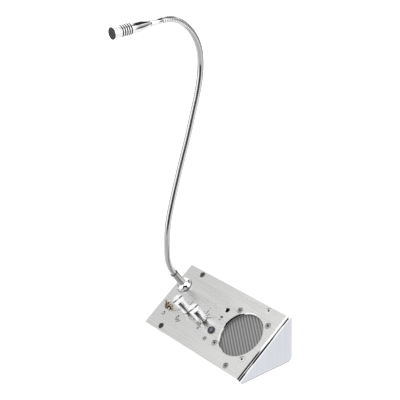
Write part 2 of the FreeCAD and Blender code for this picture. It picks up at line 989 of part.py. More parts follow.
def board_screws():
    head = board_screw_head
    screw = turned(
        (0, -board_screw_length),
        (screw_radius, -board_screw_length),
        (screw_radius, 0),
        (head, 0),
        (head, board_screw_head_height * 0.5),
        cap(head, board_screw_head_height * 0.5, board_screw_head_height * 0.5),
    )
    top = board_screw_head_height
    screw = screw.cut(hexagon(socket_across, top - socket_depth, top + 1))
    return [on_board(screw, x, y) for x, y in board_hole_places()]


def capacitor(radius, height):
    return turned((0, 0), (radius, 0), (radius, height - can_edge), (radius - can_edge, height), (0, height))


def board_capacitors():
    cans = [on_board(capacitor(large_can_radius, large_can_height), x, y) for x, y in large_can_places]
    return cans + [on_board(capacitor(small_can_radius, small_can_height), x, y) for x, y in small_can_places]


def amplifier_chips():
    """Two packages with four legs on each side."""
    package = slab(chip_length, chip_width, chip_leg_width / 2, chip_lift, chip_lift + chip_height)
    leg = block(chip_leg_width, chip_width + 2 * chip_leg_reach, 0, chip_lift + chip_height / 2)
    legs = [moved(leg, chip_leg_pitch * (i - 1.5), 0) for i in range(4)]
    legs = [leg.cut(block(chip_length, chip_width - 1, 0, chip_lift)) for leg in legs]
    return [on_board(fused([package] + legs), x, y) for x, y in chip_places]


def board_connectors():
    """Shrouded headers for the speaker, lamp, switch and sockets."""
    well = slab(header_width - 2 * header_wall, header_length - 2 * header_wall, header_wall / 2,
                header_floor, header_height + 1)
    shroud = slab(header_width, header_length, header_wall / 2, 0, header_height).cut(well)
    pin = drum(header_pin_radius, 0, header_height - header_wall)
    pins = [moved(pin, 0, side * header_pin_pitch / 2) for side in (-1, 1)]
    return [on_board(fused([shroud] + pins), x, y) for x, y in header_places]


# ---------------------------------------------------------------- sockets in the back wall


def dc_inlet():
    """Round power inlet with its centre pin."""
    high = inlet_flange_height
    return turned(
        (0, -inlet_length),
        (inlet_barrel, -inlet_length),
        (inlet_barrel, 0),
        (inlet_flange, 0),
        (inlet_flange, high - 0.4),
        (inlet_flange - 0.4, high),
        (inlet_bore, high),
        (inlet_bore, -inlet_pin_reach),
        (inlet_pin, -inlet_pin_reach),
        (inlet_pin, 0),
        (0, 0),
    )


def dc_inlet_nut():
    return hex_nut(inlet_nut_across, inlet_barrel + thread_clearance, -sheet - inlet_nut_height, -sheet)


def line_socket():
    """Socket for the customer's side, its nose through the wall."""
    low = -sheet - line_depth
    case = slab(line_body, line_body, 0.5, low, -sheet)
    nose = drum(line_barrel, -sheet - 1, line_nose)
    return fused([case, nose]).cut(drum(jack_bore, low + jack_wall, line_nose + 1))


def line_socket_nut():
    return hex_nut(bushing_nut_across, line_barrel + thread_clearance, 0, bushing_nut_height)


# ---------------------------------------------------------------- the whole


def write(node, shapes):
    """Writes one node's solids."""
    group = shapes if isinstance(shapes, list) else [shapes]
    solids = [solid for shape in group for solid in shape.Solids]
    shape = solids[0] if len(solids) == 1 else Part.makeCompound(solids)
    shape.exportStep(os.path.join("parts", node + ".step"))


def write_control(name, u):
    """One volume control and its knob."""
    write(name + "_pot", on_plate(potentiometer(), u, control_v))
    write(name + "_shaft", on_plate(at_rest_angle(shaft()), u, control_v))
    write(name + "_pot_nut", [on_plate(s, u, control_v) for s in bushing_nut(washer_thickness)])
    write(name + "_knob", on_plate(at_rest_angle(knob()), u, control_v))
    write(name + "_grub_screw", on_plate(at_rest_angle(grub_screw()), u, control_v))


def main():
    os.makedirs("parts", exist_ok=True)
    write("housing", housing())
    write("base_pad", base_pad())
    write("face_plate", face_plate())
    write("face_screws", face_screws())
    write("clinch_nuts", clinch_nuts())
    write("speaker_screws", speaker_screws())
    write("speaker_nuts", speaker_nuts())
    write("speaker_spacer", speaker_spacer())
    write("speaker_grille", speaker_grille())
    write("speaker_cloth", speaker_cloth())
    write("speaker_frame", speaker_frame())
    write("speaker_magnet", speaker_magnet())
    write("speaker_cone", speaker_cone())
    write_control("talk", talk_u)
    write_control("listen", listen_u)
    write("switch_body", on_plate(switch_body(), switch_u, switch_v))
    write("switch_nut", [on_plate(s, switch_u, switch_v) for s in bushing_nut(washer_thickness)])
    write("switch_lever", on_plate(switch_lever(), switch_u, switch_v))
    write("lamp_bezel", on_plate(lamp_bezel(), lamp_u, lamp_v))
    write("lamp", on_plate(lamp(), lamp_u, lamp_v))
    write("mic_jack", on_plate(mic_jack(), lamp_u, jack_v))
    write("neck_flange", on_plate(neck_flange(), neck_u, neck_v))
    write("neck_nut", [on_plate(s, neck_u, neck_v) for s in neck_nut()])
    write("neck_ferrule", on_plate(neck_ferrule(), neck_u, neck_v))
    for number, piece in enumerate(neck_pieces(), 1):
        write("neck_%02d" % number, piece)
    end = neck_frames()[-1]
    write("mic_sleeve", placed(mic_sleeve(), end))
    write("mic_body", placed(mic_body(), end))
    write("mic_grille", placed(mic_grille(), end))
    write("mic_capsule", placed(mic_capsule(), end))
    write("circuit_board", circuit_board())
    write("board_standoffs", board_standoffs())
    write("board_screws", board_screws())
    write("board_capacitors", board_capacitors())
    write("amplifier_chips", amplifier_chips())
    write("board_connectors", board_connectors())
    write("dc_inlet", back_socket(dc_inlet(), inlet_x))
    write("dc_inlet_nut", back_socket(dc_inlet_nut(), inlet_x))
    write("line_socket", back_socket(line_socket(), line_x))
    write("line_socket_nut", back_socket(line_socket_nut(), line_x))


main()
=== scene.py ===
import json
import math
from contextlib import contextmanager

import bpy
from mathutils import Matrix, Vector


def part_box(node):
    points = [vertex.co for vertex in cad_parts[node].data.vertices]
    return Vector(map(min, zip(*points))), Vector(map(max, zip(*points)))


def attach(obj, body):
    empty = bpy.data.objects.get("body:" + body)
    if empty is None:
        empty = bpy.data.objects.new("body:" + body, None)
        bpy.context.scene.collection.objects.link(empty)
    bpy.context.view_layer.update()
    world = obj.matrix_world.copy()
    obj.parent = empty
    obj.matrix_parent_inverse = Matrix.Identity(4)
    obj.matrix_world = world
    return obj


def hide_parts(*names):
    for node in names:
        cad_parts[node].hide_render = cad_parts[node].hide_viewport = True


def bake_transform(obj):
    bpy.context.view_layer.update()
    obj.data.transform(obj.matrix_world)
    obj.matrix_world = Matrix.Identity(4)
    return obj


# Teller window intercom: the finishes, the wound neck, the turned parts and the print of a
# counter console, and the studio that it stands in. Metres and degrees.
# On the face plate, u runs along it from its left end, v up its slope from the front edge,
# and n out of it.

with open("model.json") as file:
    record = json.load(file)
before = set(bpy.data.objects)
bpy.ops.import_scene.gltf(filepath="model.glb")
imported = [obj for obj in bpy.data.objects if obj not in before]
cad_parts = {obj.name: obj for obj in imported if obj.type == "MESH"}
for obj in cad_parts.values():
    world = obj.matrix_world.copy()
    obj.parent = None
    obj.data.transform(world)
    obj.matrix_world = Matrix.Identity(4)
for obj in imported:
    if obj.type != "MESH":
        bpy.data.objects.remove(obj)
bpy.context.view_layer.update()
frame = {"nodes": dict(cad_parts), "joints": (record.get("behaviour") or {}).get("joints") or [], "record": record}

# Face plate
SLOPE = 35.0
PLATE_LENGTH = 0.1506
PLATE_RISE = 0.0796
EDGE_BREAK = 0.0006

# Volume knobs and their printed scales
KNOB_PLACES = {"talk": 0.0374, "listen": 0.0632}
KNOB_V = 0.0342
POINTER_REST = -17.5
KNOB_RADIUS = 0.0058
KNOB_LIFT = 0.0008
KNOB_TOP = 0.0192
KNOB_DISH = 0.0004
KNOB_RIM = 0.0011
DISH_STEPS = 6
KNOB_FOOT_ROUND = 0.0002
KNOB_TOP_ROUND = 0.0005
POINTER_WIDTH = 0.0009
POINTER_DEPTH = 0.0005
CUTTER_HEIGHT = 0.002
SCALE_START = 0.0061
SCALE_LONG = 0.0110
SCALE_SHORT = 0.0090
SCALE_DIGITS = 0.0133
SCALE_REACH = 120.0
SCALE_STEP = 30.0
SCALE_MARKS = 9
DIGIT_SIZE = 0.0027
LINE_WIDTH = 0.00075
BAND_STEP = 10
BAND_FEWEST = 8
PRINT_THICKNESS = 0.00004
SIGNS = {
    "power": (0.0141, 0.0185),
    "talk": (0.0379, 0.0236),
    "listen": (0.0631, 0.0235),
    "lamp": (0.0829, 0.0179),
    "headset": (0.0832, 0.0443),
}
SIGN_LINE = 0.0006
# Where the talk and listen signs have their source, its size, and its waves' radii and half angles
SOUND_SHIFT = 0.0034
SOUND_SOURCE = (0.0016, 0.0024)
SOUND_WAVES = ((0.0027, 50), (0.0045, 36), (0.0063, 26))

# Speaker
SPEAKER_U, SPEAKER_V = 0.1178, 0.0401
SPEAKER_SCREW = 0.02075

# Neck
NECK_U, NECK_V = 0.0126, 0.0553
NECK_RADIUS = 0.00339
NECK_BORE = 0.0018
NECK_PIECE = 0.02314
NECK_END_TURN = -37.1
COILS_PER_PIECE = 11
COIL_GROOVE = 0.00030
COIL_LIP = 0.00002
GROOVE_MARGIN = 0.0001
GROOVE_SHARE = 0.25
TURN_STEPS = 28
BEND_SHARE = 0.35
DOME_TOP = 0.0062
FLANGE_RADIUS = 0.0087
FLANGE_HEIGHT = 0.0005
FLANGE_ROUND = 0.0002
DOME_RADIUS = 0.0083
DOME_FOOT = 0.0010
DOME_STEPS = 20
FERRULE_RADIUS = 0.0043
FERRULE_LENGTH = 0.018
FERRULE_LIP = 0.0004
FERRULE_FIT = 0.0002
STUD_RADIUS = 0.004
STUD_LENGTH = 0.0105

# Microphone
SLEEVE_START = 0.0026
SLEEVE_RADIUS = 0.0035
SLEEVE_LENGTH = 0.016
CONE_START = 0.00275
CONE_LENGTH = 0.0125
MIC_RADIUS = 0.006
MIC_LENGTH = 0.03099
MIC_EDGE = 0.0003
GROOVES = 5
GROOVE_PITCH = 0.0025
GROOVE_WIDTH = 0.00125
GROOVE_DEPTH = 0.0014
GROOVE_START = 0.0113
MIC_CAVITY = 0.0053
MIC_CAVITY_DEPTH = 0.010

# Camera
CAMERA_PLACE = (0.76568, -0.61942, 0.58363)
CAMERA_RIGHT = (0.62656, 0.77889, -0.02741)
CAMERA_UP = (-0.29162, 0.26690, 0.91854)
CAMERA_LENS = 99.57
CAMERA_FILM = 36.0

# Worked out from the sizes above and from the frame
plate_low, plate_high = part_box("face_plate")
TILT_SIN, TILT_COS = math.sin(math.radians(SLOPE)), math.cos(math.radians(SLOPE))
PLATE_FOOT = Vector((
    plate_low.x,
    plate_low.y - EDGE_BREAK * TILT_SIN,
    plate_high.z - (PLATE_RISE - EDGE_BREAK) * TILT_SIN,
))
PLATE = Matrix.Translation(PLATE_FOOT) @ Matrix.Rotation(math.radians(SLOPE), 4, "X")
PLATE_LEVEL = PLATE_FOOT.z * TILT_COS - PLATE_FOOT.y * TILT_SIN
NORMAL = PLATE.to_3x3() @ Vector((0, 0, 1))
COIL_PITCH = NECK_PIECE / COILS_PER_PIECE
MIC_FRONT = SLEEVE_LENGTH + CONE_LENGTH + MIC_LENGTH
MIC_GROOVES = SLEEVE_LENGTH + CONE_LENGTH + GROOVE_START
case_low, case_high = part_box("housing")
CASE_FOOT, CASE_BACK, CASE_TOP = case_low.z, case_high.y, case_high.z
DEGREES = 180 / math.pi


def on_plate(u, v, n=0.0, turn=0.0):
    """A place on the face plate, its Z axis out of the plate."""
    return PLATE @ Matrix.Translation((u, v, n)) @ Matrix.Rotation(math.radians(turn), 4, "Z")


# ---------------------------------------------------------------- shader sums


class Value:
    """A socket that takes part in sums; each sum adds its Math node."""

    def __init__(self, nodes, socket):
        self.nodes = nodes
        self.socket = socket

    def math(self, operation, *others):
        sockets = dict(enumerate((self,) + others))
        return self.nodes.node("ShaderNodeMath", {"operation": operation}, sockets)

    def __add__(self, other):
        return self.math("ADD", other)

    def __sub__(self, other):
        return self.math("SUBTRACT", other)

    def __rsub__(self, other):
        return self.nodes.node("ShaderNodeMath", {"operation": "SUBTRACT"}, {0: other, 1: self})

    def __mul__(self, other):
        return self.math("MULTIPLY", other)

    def __truediv__(self, other):
        return self.math("DIVIDE", other)

    def __neg__(self):
        return self.math("MULTIPLY", -1.0)

    def size(self):
        return self.math("ABSOLUTE")

    def step(self, low, high):
        """0 at low and 1 at high, with a smooth rise between; low may be the higher of the two."""
        settings = {"interpolation_type": "SMOOTHSTEP"}
        sockets = {"Value": self, 1: min(low, high), 2: max(low, high)}
        rise = self.nodes.node("ShaderNodeMapRange", settings, sockets)
        return rise if low < high else 1.0 - rise


class Nodes:
    """A node tree, its nodes added by type with their settings and then their sockets."""

    def __init__(self, tree):
        self.tree = tree
        tree.nodes.clear()

    def add(self, kind, settings, sockets):
        node = self.tree.nodes.new(kind)
        for key, value in settings.items():
            setattr(node, key, value)
        for key, value in sockets.items():
            if isinstance(value, Value):
                self.tree.links.new(value.socket, node.inputs[key])
            else:
                node.inputs[key].default_value = value
        return node

    def node(self, kind, settings, sockets, output=0):
        return Value(self, self.add(kind, settings, sockets).outputs[output])

    def mix(self, factor, low, high):
        """A colour between two."""
        settings = {"data_type": "RGBA"}
        return self.node("ShaderNodeMix", settings, {0: factor, 6: low, 7: high}, output=2)

    def apart(self, vector):
        parts = self.add("ShaderNodeSeparateXYZ", {}, {"Vector": vector})
        return [Value(self, parts.outputs[i]) for i in range(3)]

    def point(self, x, y, z):
        return self.node("ShaderNodeCombineXYZ", {}, {0: x, 1: y, 2: z})

    def noise(self, vector, scale, detail=2.0, roughness=0.5):
        sockets = {"Vector": vector, "Scale": scale, "Detail": detail, "Roughness": roughness}
        return self.node("ShaderNodeTexNoise", {}, sockets)

    def bump(self, height, distance, strength=1.0):
        sockets = {"Height": height, "Distance": distance, "Strength": strength}
        return self.node("ShaderNodeBump", {}, sockets)


def grey(level):
    return (level, level, level, 1.0)


class Finish(Nodes):
    """A material with one Principled surface."""

    def __init__(self, name):
        self.material = bpy.data.materials.new(name)
        self.material.use_nodes = True
        super().__init__(self.material.node_tree)
        coordinates = self.add("ShaderNodeTexCoord", {}, {})
        self.place = Value(self, coordinates.outputs["Object"])
        self.facing = Value(self, coordinates.outputs["Normal"])

    def brushing(self, x, y, z, detail):
        """Fine lines: noise over a place that is stretched beforehand."""
        return self.noise(self.point(x, y, z), 1.0, detail)

    def surface(self, sockets):
        shader = self.node("ShaderNodeBsdfPrincipled", {}, sockets)
        self.add("ShaderNodeOutputMaterial", {}, {"Surface": shader})
        return self.material


# ---------------------------------------------------------------- finishes


# How fine each pattern is, per metre
POLISH_SCALE = 420.0
SPUN_SCALE = 1800.0
WEAR_SCALE = 900.0
PATCH_SCALE = 520.0
FERRULE_LINES, FERRULE_CROSS = 60.0, 2500.0
WEAVE = 9000.0

# Steel tones, each from the dark end of its brushing to the light end
PLATE_LOW, PLATE_HIGH = (0.70, 0.705, 0.70, 1), (0.90, 0.90, 0.89, 1)
CASE_LOW, CASE_HIGH = (0.66, 0.68, 0.73, 1), (0.90, 0.92, 0.97, 1)

# Brushing: how many lines a metre, first with the grain and then across it
FINE_LINES, FINE_CROSS = 24.0, 3800.0
STREAK_LINES, STREAK_CROSS = 14.0, 900.0
BROAD_LINES, BROAD_CROSS = 9.0, 60.0
CASE_FINE_LINES, CASE_FINE_CROSS = 20.0, 3600.0
CASE_STREAK_LINES, CASE_STREAK_CROSS = 9.0, 900.0

# Soft borders, each from where a tone starts to where it is full
# Face plate: how upright a face is, the rings round the speaker's screws, and the speaker's
# opening by its squared radius and by the angle round it, which sets where its rim gets painted
# shade and where it gets a painted highlight
CUT_UPRIGHT, UNDER_UPRIGHT, FRONT_FACING = (0.98, 0.93), (-0.5, -0.8), (-0.6, -0.9)
WALL_UPRIGHT, BREAK_UPRIGHT = (0.4, 0.2), (0.9, 0.8)
RING_INSIDE, RING_OUTSIDE = (0.0029, 0.0031), (0.0036, 0.0034)
OPENING_SQUARED = (0.00070, 0.00066)
SHADE_FROM, SHADE_TO = (-9.0, -5.0), (57.0, 53.0)
BRIGHT_FROM, BRIGHT_TO = (-46.0, -42.0), (165.0, 140.0)
# Right end of the plate: a painted reflection on its upper edge, dark low down and bright from part
# way up, and a dark painted reflection at its foot
EDGE_REFLECTION_FROM, EDGE_REFLECTION_ABOVE = (PLATE_LENGTH - 0.0014, PLATE_LENGTH - 0.0010), (-0.0011, -0.0009)
EDGE_BRIGHT_FROM = (0.031, 0.038)
FOOT_FROM, FOOT_BELOW = (PLATE_LENGTH - 0.0008, PLATE_LENGTH - 0.0004), (-0.0014, -0.0018)
FOOT_FRONT, FOOT_MIDDLE_FROM, FOOT_MIDDLE_TO = (0.010, 0.006), (0.020, 0.026), (0.048, 0.042)
# Neck: painted shade at the foot of the flange under the dome, and the crimp at the ferrule's top
FLANGE_SHADE = (0.00060, 0.00048)
CRIMP_FROM = (DOME_TOP + FERRULE_LENGTH - 0.0010, DOME_TOP + FERRULE_LENGTH - 0.0006)
# Microphone: inside its grooves, from the first of them on, and round its open front
GROOVE_INSIDE = (MIC_RADIUS - 0.0002, MIC_RADIUS - 0.0004)
GROOVES_FROM = (MIC_GROOVES - 0.0003, MIC_GROOVES - 0.0001)
MIC_FRONT_FROM = (MIC_FRONT - 0.0003, MIC_FRONT - 0.0001)
# Knob: its pale end, and the pointer's half width, its way outwards and its way down the side
KNOB_END = (KNOB_TOP - 0.0007, KNOB_TOP - 0.0005)
POINTER_HALF, POINTER_OUT = (0.0011, 0.0007), (0.0004, 0.0030)
POINTER_DOWN = (KNOB_TOP - 0.0014, KNOB_TOP - 0.0012)
# Housing: which way a face looks, and the bends between its faces
SIDE_FACING, BEND_FROM, BEND_TO = (0.6, 0.8), (0.05, 0.2), (0.999, 0.985)
FRONT_WALL, NOT_BEND = (-0.3, -0.45), (0.2, 0.1)
# Housing: the joint under the plate, and the painted shade in its seam along the bends, which is
# narrow in two places and wide in two
SEAM_ABOVE, JOINT_ABOVE, JOINT_FRONT = (-0.0043, -0.0040), (-0.0028, -0.0024), (0.010, 0.006)
NARROW = (((0.009, 0.012), (0.024, 0.020)), ((0.052, 0.058), (0.072, 0.068)))
NARROWED = 0.0005
WIDE_FRONT, WIDE_MIDDLE = (0.010, 0.004), ((0.016, 0.026), (0.050, 0.044))
WIDENED_FRONT, WIDENED_MIDDLE = 0.0007, 0.0003
# Housing: the painted highlights on the folds at the top of the back wall and in the line under
# the joint, the strip along the foot of each end, and the strip down its back edge
FOLD_ABOVE, FOLD_FROM = (-0.0046, -0.0043), (PLATE_RISE - 0.0012, PLATE_RISE - 0.0008)
CORNER_BACK, CORNER_UP, CORNER_DROP, CORNER_FROM = 0.983, 0.1815, 0.006, (-0.00005, 0.0001)
GLINT_FROM, GLINT_TO = (-0.0060, -0.0055), (-0.0043, -0.0047)
STRIP_BELOW, BACK_FROM = (0.0010, 0.0005), (-0.0024, -0.0010)


def plate_place(f):
    """Where a point lies on the face plate: along it, up its slope, and above its upper side."""
    x, y, z = f.apart(f.place)
    rise = y * TILT_COS + z * TILT_SIN - (PLATE_FOOT.y * TILT_COS + PLATE_FOOT.z * TILT_SIN)
    return x - PLATE_FOOT.x, rise, z * TILT_COS - y * TILT_SIN - PLATE_LEVEL


def brushed_plate():
    """Stainless face plate, brushed along its length and painted lighter towards its right end: painted
    shade and a glowing painted highlight on the rim of the speaker's opening, a painted reflection on
    its right edge, dark low down and bright higher up, a dark painted reflection at its foot, and a
    dull underside."""
    f = Finish("brushed_plate")
    u, v, n = plate_place(f)
    _, ny, nz = f.apart(f.facing)
    up = nz * TILT_COS - ny * TILT_SIN
    cut = up.step(*CUT_UPRIGHT)
    fine = f.brushing(u * FINE_LINES, v * FINE_CROSS, 0.0, 2.0)
    streak = f.brushing(u * STREAK_LINES, v * STREAK_CROSS, 3.0, 3.0)
    broad = f.brushing(u * BROAD_LINES, v * BROAD_CROSS, 7.0, 1.0)
    # Painted light: the plate's tone is painted lighter towards its right end.
    painted_light_to_right = (u - PLATE_LENGTH / 2) * 4.0
    tone = fine * 0.9 + streak * 1.9 + broad * 0.3 - 0.97 + painted_light_to_right
    face = f.mix(tone, PLATE_LOW, PLATE_HIGH)

    out_u, out_v = u - SPEAKER_U, v - SPEAKER_V
    screw_u, screw_v = out_u.size() - SPEAKER_SCREW, out_v.size() - SPEAKER_SCREW
    from_screw = (screw_u * screw_u + screw_v * screw_v).math("SQRT")
    ring = from_screw.step(*RING_INSIDE) * from_screw.step(*RING_OUTSIDE)
    face = f.mix(ring, face, grey(0.30))

    edge = f.mix(ny.step(*FRONT_FACING), (0.95, 0.95, 0.94, 1), (0.80, 0.77, 0.74, 1))
    opening = (out_u * out_u + out_v * out_v).step(*OPENING_SQUARED)
    # Painted shade: the wall of the speaker's opening is painted dark grey, and near black across one range of
    # angles round it.
    rim = up.size().step(*WALL_UPRIGHT) * opening
    way = out_v.math("ARCTAN2", -out_u) * DEGREES
    shade = way.step(*SHADE_FROM) * way.step(*SHADE_TO)
    edge = f.mix(rim, edge, f.mix(shade, (0.30, 0.30, 0.31, 1), grey(0.006)))
    # Painted highlight: round the rest of the opening, the wall and the broken edge are painted white, without
    # gloss, and glow a little.
    bright = (1.0 - shade) * way.step(*BRIGHT_FROM) * way.step(*BRIGHT_TO)
    bright = bright * up.size().step(*BREAK_UPRIGHT) * opening
    edge = f.mix(bright, edge, grey(1.0))

    # Painted reflection: the upper edge of the right end is painted black low down and white, without gloss, from
    # part way up.
    edge_reflection = u.step(*EDGE_REFLECTION_FROM) * n.step(*EDGE_REFLECTION_ABOVE)
    edge_reflection_bright = v.step(*EDGE_BRIGHT_FROM)
    face = f.mix(edge_reflection, face, f.mix(edge_reflection_bright, grey(0.04), grey(1.0)))
    edge = f.mix(edge_reflection * (1.0 - edge_reflection_bright), edge, grey(0.04))
    # Painted reflection: the foot of the right end face is painted near black at the front and along the middle.
    dark = v.step(*FOOT_FRONT) + v.step(*FOOT_MIDDLE_FROM) * v.step(*FOOT_MIDDLE_TO)
    foot = u.step(*FOOT_FROM) * n.step(*FOOT_BELOW) * dark
    edge = f.mix(foot, edge, grey(0.02))

    colour = f.mix(up.step(*UNDER_UPRIGHT), f.mix(cut, face, edge), grey(0.10))
    rough = (streak * 0.08 + fine * 0.06 + 0.21) * (1.0 - cut) + cut * 0.05 + rim * 0.4
    height = (fine + streak * 0.6) * (1.0 - cut)
    return f.surface({
        "Base Color": colour,
        "Metallic": 1.0 - (bright + edge_reflection * edge_reflection_bright).math("MINIMUM", 1.0),
        "Roughness": rough,
        "Emission Color": f.mix(bright, grey(0.0), grey(0.25)),
        "Emission Strength": 1.0,
        "Normal": f.bump(height, 0.00006, 1.0),
    })


def brushed_case():
    """Folded steel, brushed upright on its ends, with bright bends, a dark joint under the face plate,
    painted shade in the seam along the bends under it, painted highlights on the folds and in a line
    below the joint, and a front wall painted lighter."""
    f = Finish("brushed_case")
    _, v, n = plate_place(f)
    x, y, z = f.apart(f.place)
    nx, ny, _ = f.apart(f.facing)
    side = nx.size().step(*SIDE_FACING)
    bend = nx.size().step(*BEND_FROM) * nx.size().step(*BEND_TO)
    front = ny.step(*FRONT_WALL) * nx.size().step(*NOT_BEND)

    end_fine = f.brushing(y * CASE_FINE_CROSS, z * CASE_FINE_LINES, x, 2.0)
    end_streak = f.brushing(y * CASE_STREAK_CROSS, z * CASE_STREAK_LINES, x, 3.0)
    wall_fine = f.brushing(x * CASE_FINE_LINES, (z + y) * CASE_FINE_CROSS, 1.0, 2.0)
    wall_streak = f.brushing(x * CASE_STREAK_LINES, (z + y) * CASE_STREAK_CROSS, 5.0, 3.0)
    fine = end_fine * side + wall_fine * (1.0 - side)
    streak = end_streak * side + wall_streak * (1.0 - side)
    # Painted light: the front wall is pushed to the light end of the steel's tones, as if brightly lit.
    tone = fine * 0.5 + streak * 0.8 - 0.15 + front * 2.0
    colour = f.mix(bend, f.mix(tone, CASE_LOW, CASE_HIGH), grey(1.0))

    # Painted shade: the bends just under the face plate are painted near black, in a band narrowed in two places
    # and widened in two.
    near, far = [v.step(*start) * v.step(*end) for start, end in NARROW]
    wide = v.step(*WIDE_FRONT) * WIDENED_FRONT
    wide = wide + v.step(*WIDE_MIDDLE[0]) * v.step(*WIDE_MIDDLE[1]) * WIDENED_MIDDLE
    seam_shade = (n + wide - (near + far) * NARROWED).step(*SEAM_ABOVE) * bend
    joint = n.step(*JOINT_ABOVE) * (1.0 - bend) * (1.0 - side) * v.step(*JOINT_FRONT)
    # Painted highlights: the folds at the top of the back wall, and a line along each end under the joint, are
    # painted white with less gloss.
    corner = (y - CASE_BACK) * CORNER_BACK + (z - CASE_TOP + CORNER_DROP) * CORNER_UP
    fold_highlight = n.step(*FOLD_ABOVE) * v.step(*FOLD_FROM)
    fold_highlight = fold_highlight.math("MAXIMUM", corner.step(*CORNER_FROM))
    glint = side * n.step(*GLINT_FROM) * n.step(*GLINT_TO)
    strip = (z - CASE_FOOT).step(*STRIP_BELOW) * side
    back = (y - CASE_BACK).step(*BACK_FROM) * side

    colour = f.mix(glint, colour, grey(1.0))
    colour = f.mix(strip, colour, (0.46, 0.38, 0.34, 1))
    colour = f.mix(back, colour, (0.96, 0.97, 1.0, 1))
    colour = f.mix(joint, colour, (0.30, 0.22, 0.20, 1))
    colour = f.mix(seam_shade, colour, (0.012, 0.012, 0.014, 1))
    colour = f.mix(fold_highlight, colour, grey(1.0))
    rough = (streak * 0.12 + fine * 0.08 + 0.24) * (1.0 - bend) + bend * 0.08 + seam_shade * 0.3
    return f.surface({
        "Base Color": colour,
        "Metallic": 1.0 - fold_highlight - glint * (1.0 - seam_shade) * (1.0 - fold_highlight) * 0.5,
        "Roughness": rough,
        "Normal": f.bump((fine + streak * 0.6) * (1.0 - bend), 0.000012, 0.5),
    })


def chrome(name, level, roughness):
    """Polished plating, with faint swirls in its polish."""
    f = Finish(name)
    swirl = f.noise(f.place, POLISH_SCALE, 3.0)
    low = (level - 0.03, level - 0.025, level - 0.02, 1)
    high = (level, level, level + 0.01, 1)
    return f.surface({"Base Color": f.mix(swirl, low, high), "Metallic": 1.0,
                      "Roughness": swirl * 0.04 + roughness,
                      "Normal": f.bump(swirl, 0.000004, 0.3)})


def dome_chrome():
    """Polished dome, with painted shade at the foot of its flange."""
    f = Finish("dome_chrome")
    _, _, n = plate_place(f)
    swirl = f.noise(f.place, POLISH_SCALE, 3.0)
    # Painted shade: the foot of the flange, where it meets the plate, is painted dark and dull.
    seam_shade = n.step(*FLANGE_SHADE)
    colour = f.mix(seam_shade, f.mix(swirl, grey(0.88), grey(0.92)), (0.10, 0.11, 0.14, 1))
    return f.surface({"Base Color": colour, "Metallic": 1.0,
                      "Roughness": swirl * 0.04 + 0.05 + seam_shade * 0.3})


def grooved_chrome(point, way):
    """Polished microphone shell, blackened in its grooves and round its open front."""
    f = Finish("grooved_chrome")
    x, y, z = f.apart(f.place)
    x, y, z = x - point.x, y - point.y, z - point.z
    reach = x * way.x + y * way.y + z * way.z
    out = (x * x + y * y + z * z - reach * reach).math("SQRT")
    swirl = f.noise(f.place, POLISH_SCALE, 3.0)
    dark = out.step(*GROOVE_INSIDE) * reach.step(*GROOVES_FROM)
    dark = dark.math("MAXIMUM", reach.step(*MIC_FRONT_FROM))
    colour = f.mix(dark, f.mix(swirl, grey(0.93), grey(0.96)), grey(0.015))
    return f.surface({"Base Color": colour, "Metallic": 1.0,
                      "Roughness": swirl * 0.04 + 0.04 + dark * 0.3})


def satin_ferrule():
    """Satin sleeve with fine lines along it and a dark crimp at its top."""
    f = Finish("satin_ferrule")
    u, v, n = plate_place(f)
    grain = f.brushing(u * FERRULE_CROSS, v * FERRULE_CROSS, n * FERRULE_LINES, 2.0)
    colour = f.mix(grain, grey(0.55), grey(0.78))
    colour = f.mix(n.step(*CRIMP_FROM), colour, (0.16, 0.14, 0.13, 1))
    return f.surface({"Base Color": colour, "Metallic": 1.0, "Roughness": grain * 0.1 + 0.26})


def spun_metal(name, knob_u):
    """Knob turned from bar, its pale end crossed by a pointer that is dark towards the rim."""
    f = Finish(name)
    u, v, n = plate_place(f)
    ring = f.noise(f.place, SPUN_SCALE, 2.0)
    rest = math.radians(POINTER_REST)
    across, along = math.cos(rest), math.sin(rest)
    out_u, out_v = u - knob_u, v - KNOB_V
    off = (out_u * across + out_v * along).size()
    reach = (out_v * across - out_u * along).size()
    end = n.step(*KNOB_END)
    line = off.step(*POINTER_HALF) * reach.step(*POINTER_OUT) * n.step(*POINTER_DOWN)
    colour = f.mix(ring, grey(0.92), grey(0.98))
    colour = f.mix(line, f.mix(end, colour, grey(1.0)), (0.13, 0.14, 0.17, 1))
    return f.surface({"Base Color": colour, "Metallic": 1.0 - end * (1.0 - line) * 0.6,
                      "Roughness": ring * 0.05 + 0.10})


# The screw heads: u, v, level of the head and of the socket, each level a painted reflection on
# the head or painted shade in the socket
SCREW_LIGHT_LEVELS = [
    (0.0233, 0.0747, 0.15, 0.20),
    (0.0233, 0.0056, 0.085, 0.20),
    (0.1273, 0.0747, 0.97, 0.04),
    (0.1273, 0.0056, 0.42, 0.26),
    (0.09705, 0.01935, 0.52, 0.04),
    (0.13855, 0.01935, 0.93, 0.03),
    (0.09705, 0.06085, 0.46, 0.12),
    (0.13855, 0.06085, 0.50, 0.04),
]
# How far the head and its socket reach, and how the head darkens across in painted shade
HEAD_REACH, SOCKET_REACH, HEAD_SHADE = (0.0036, 0.0035), (0.00125, 0.00105), (0.0008, 0.0036)


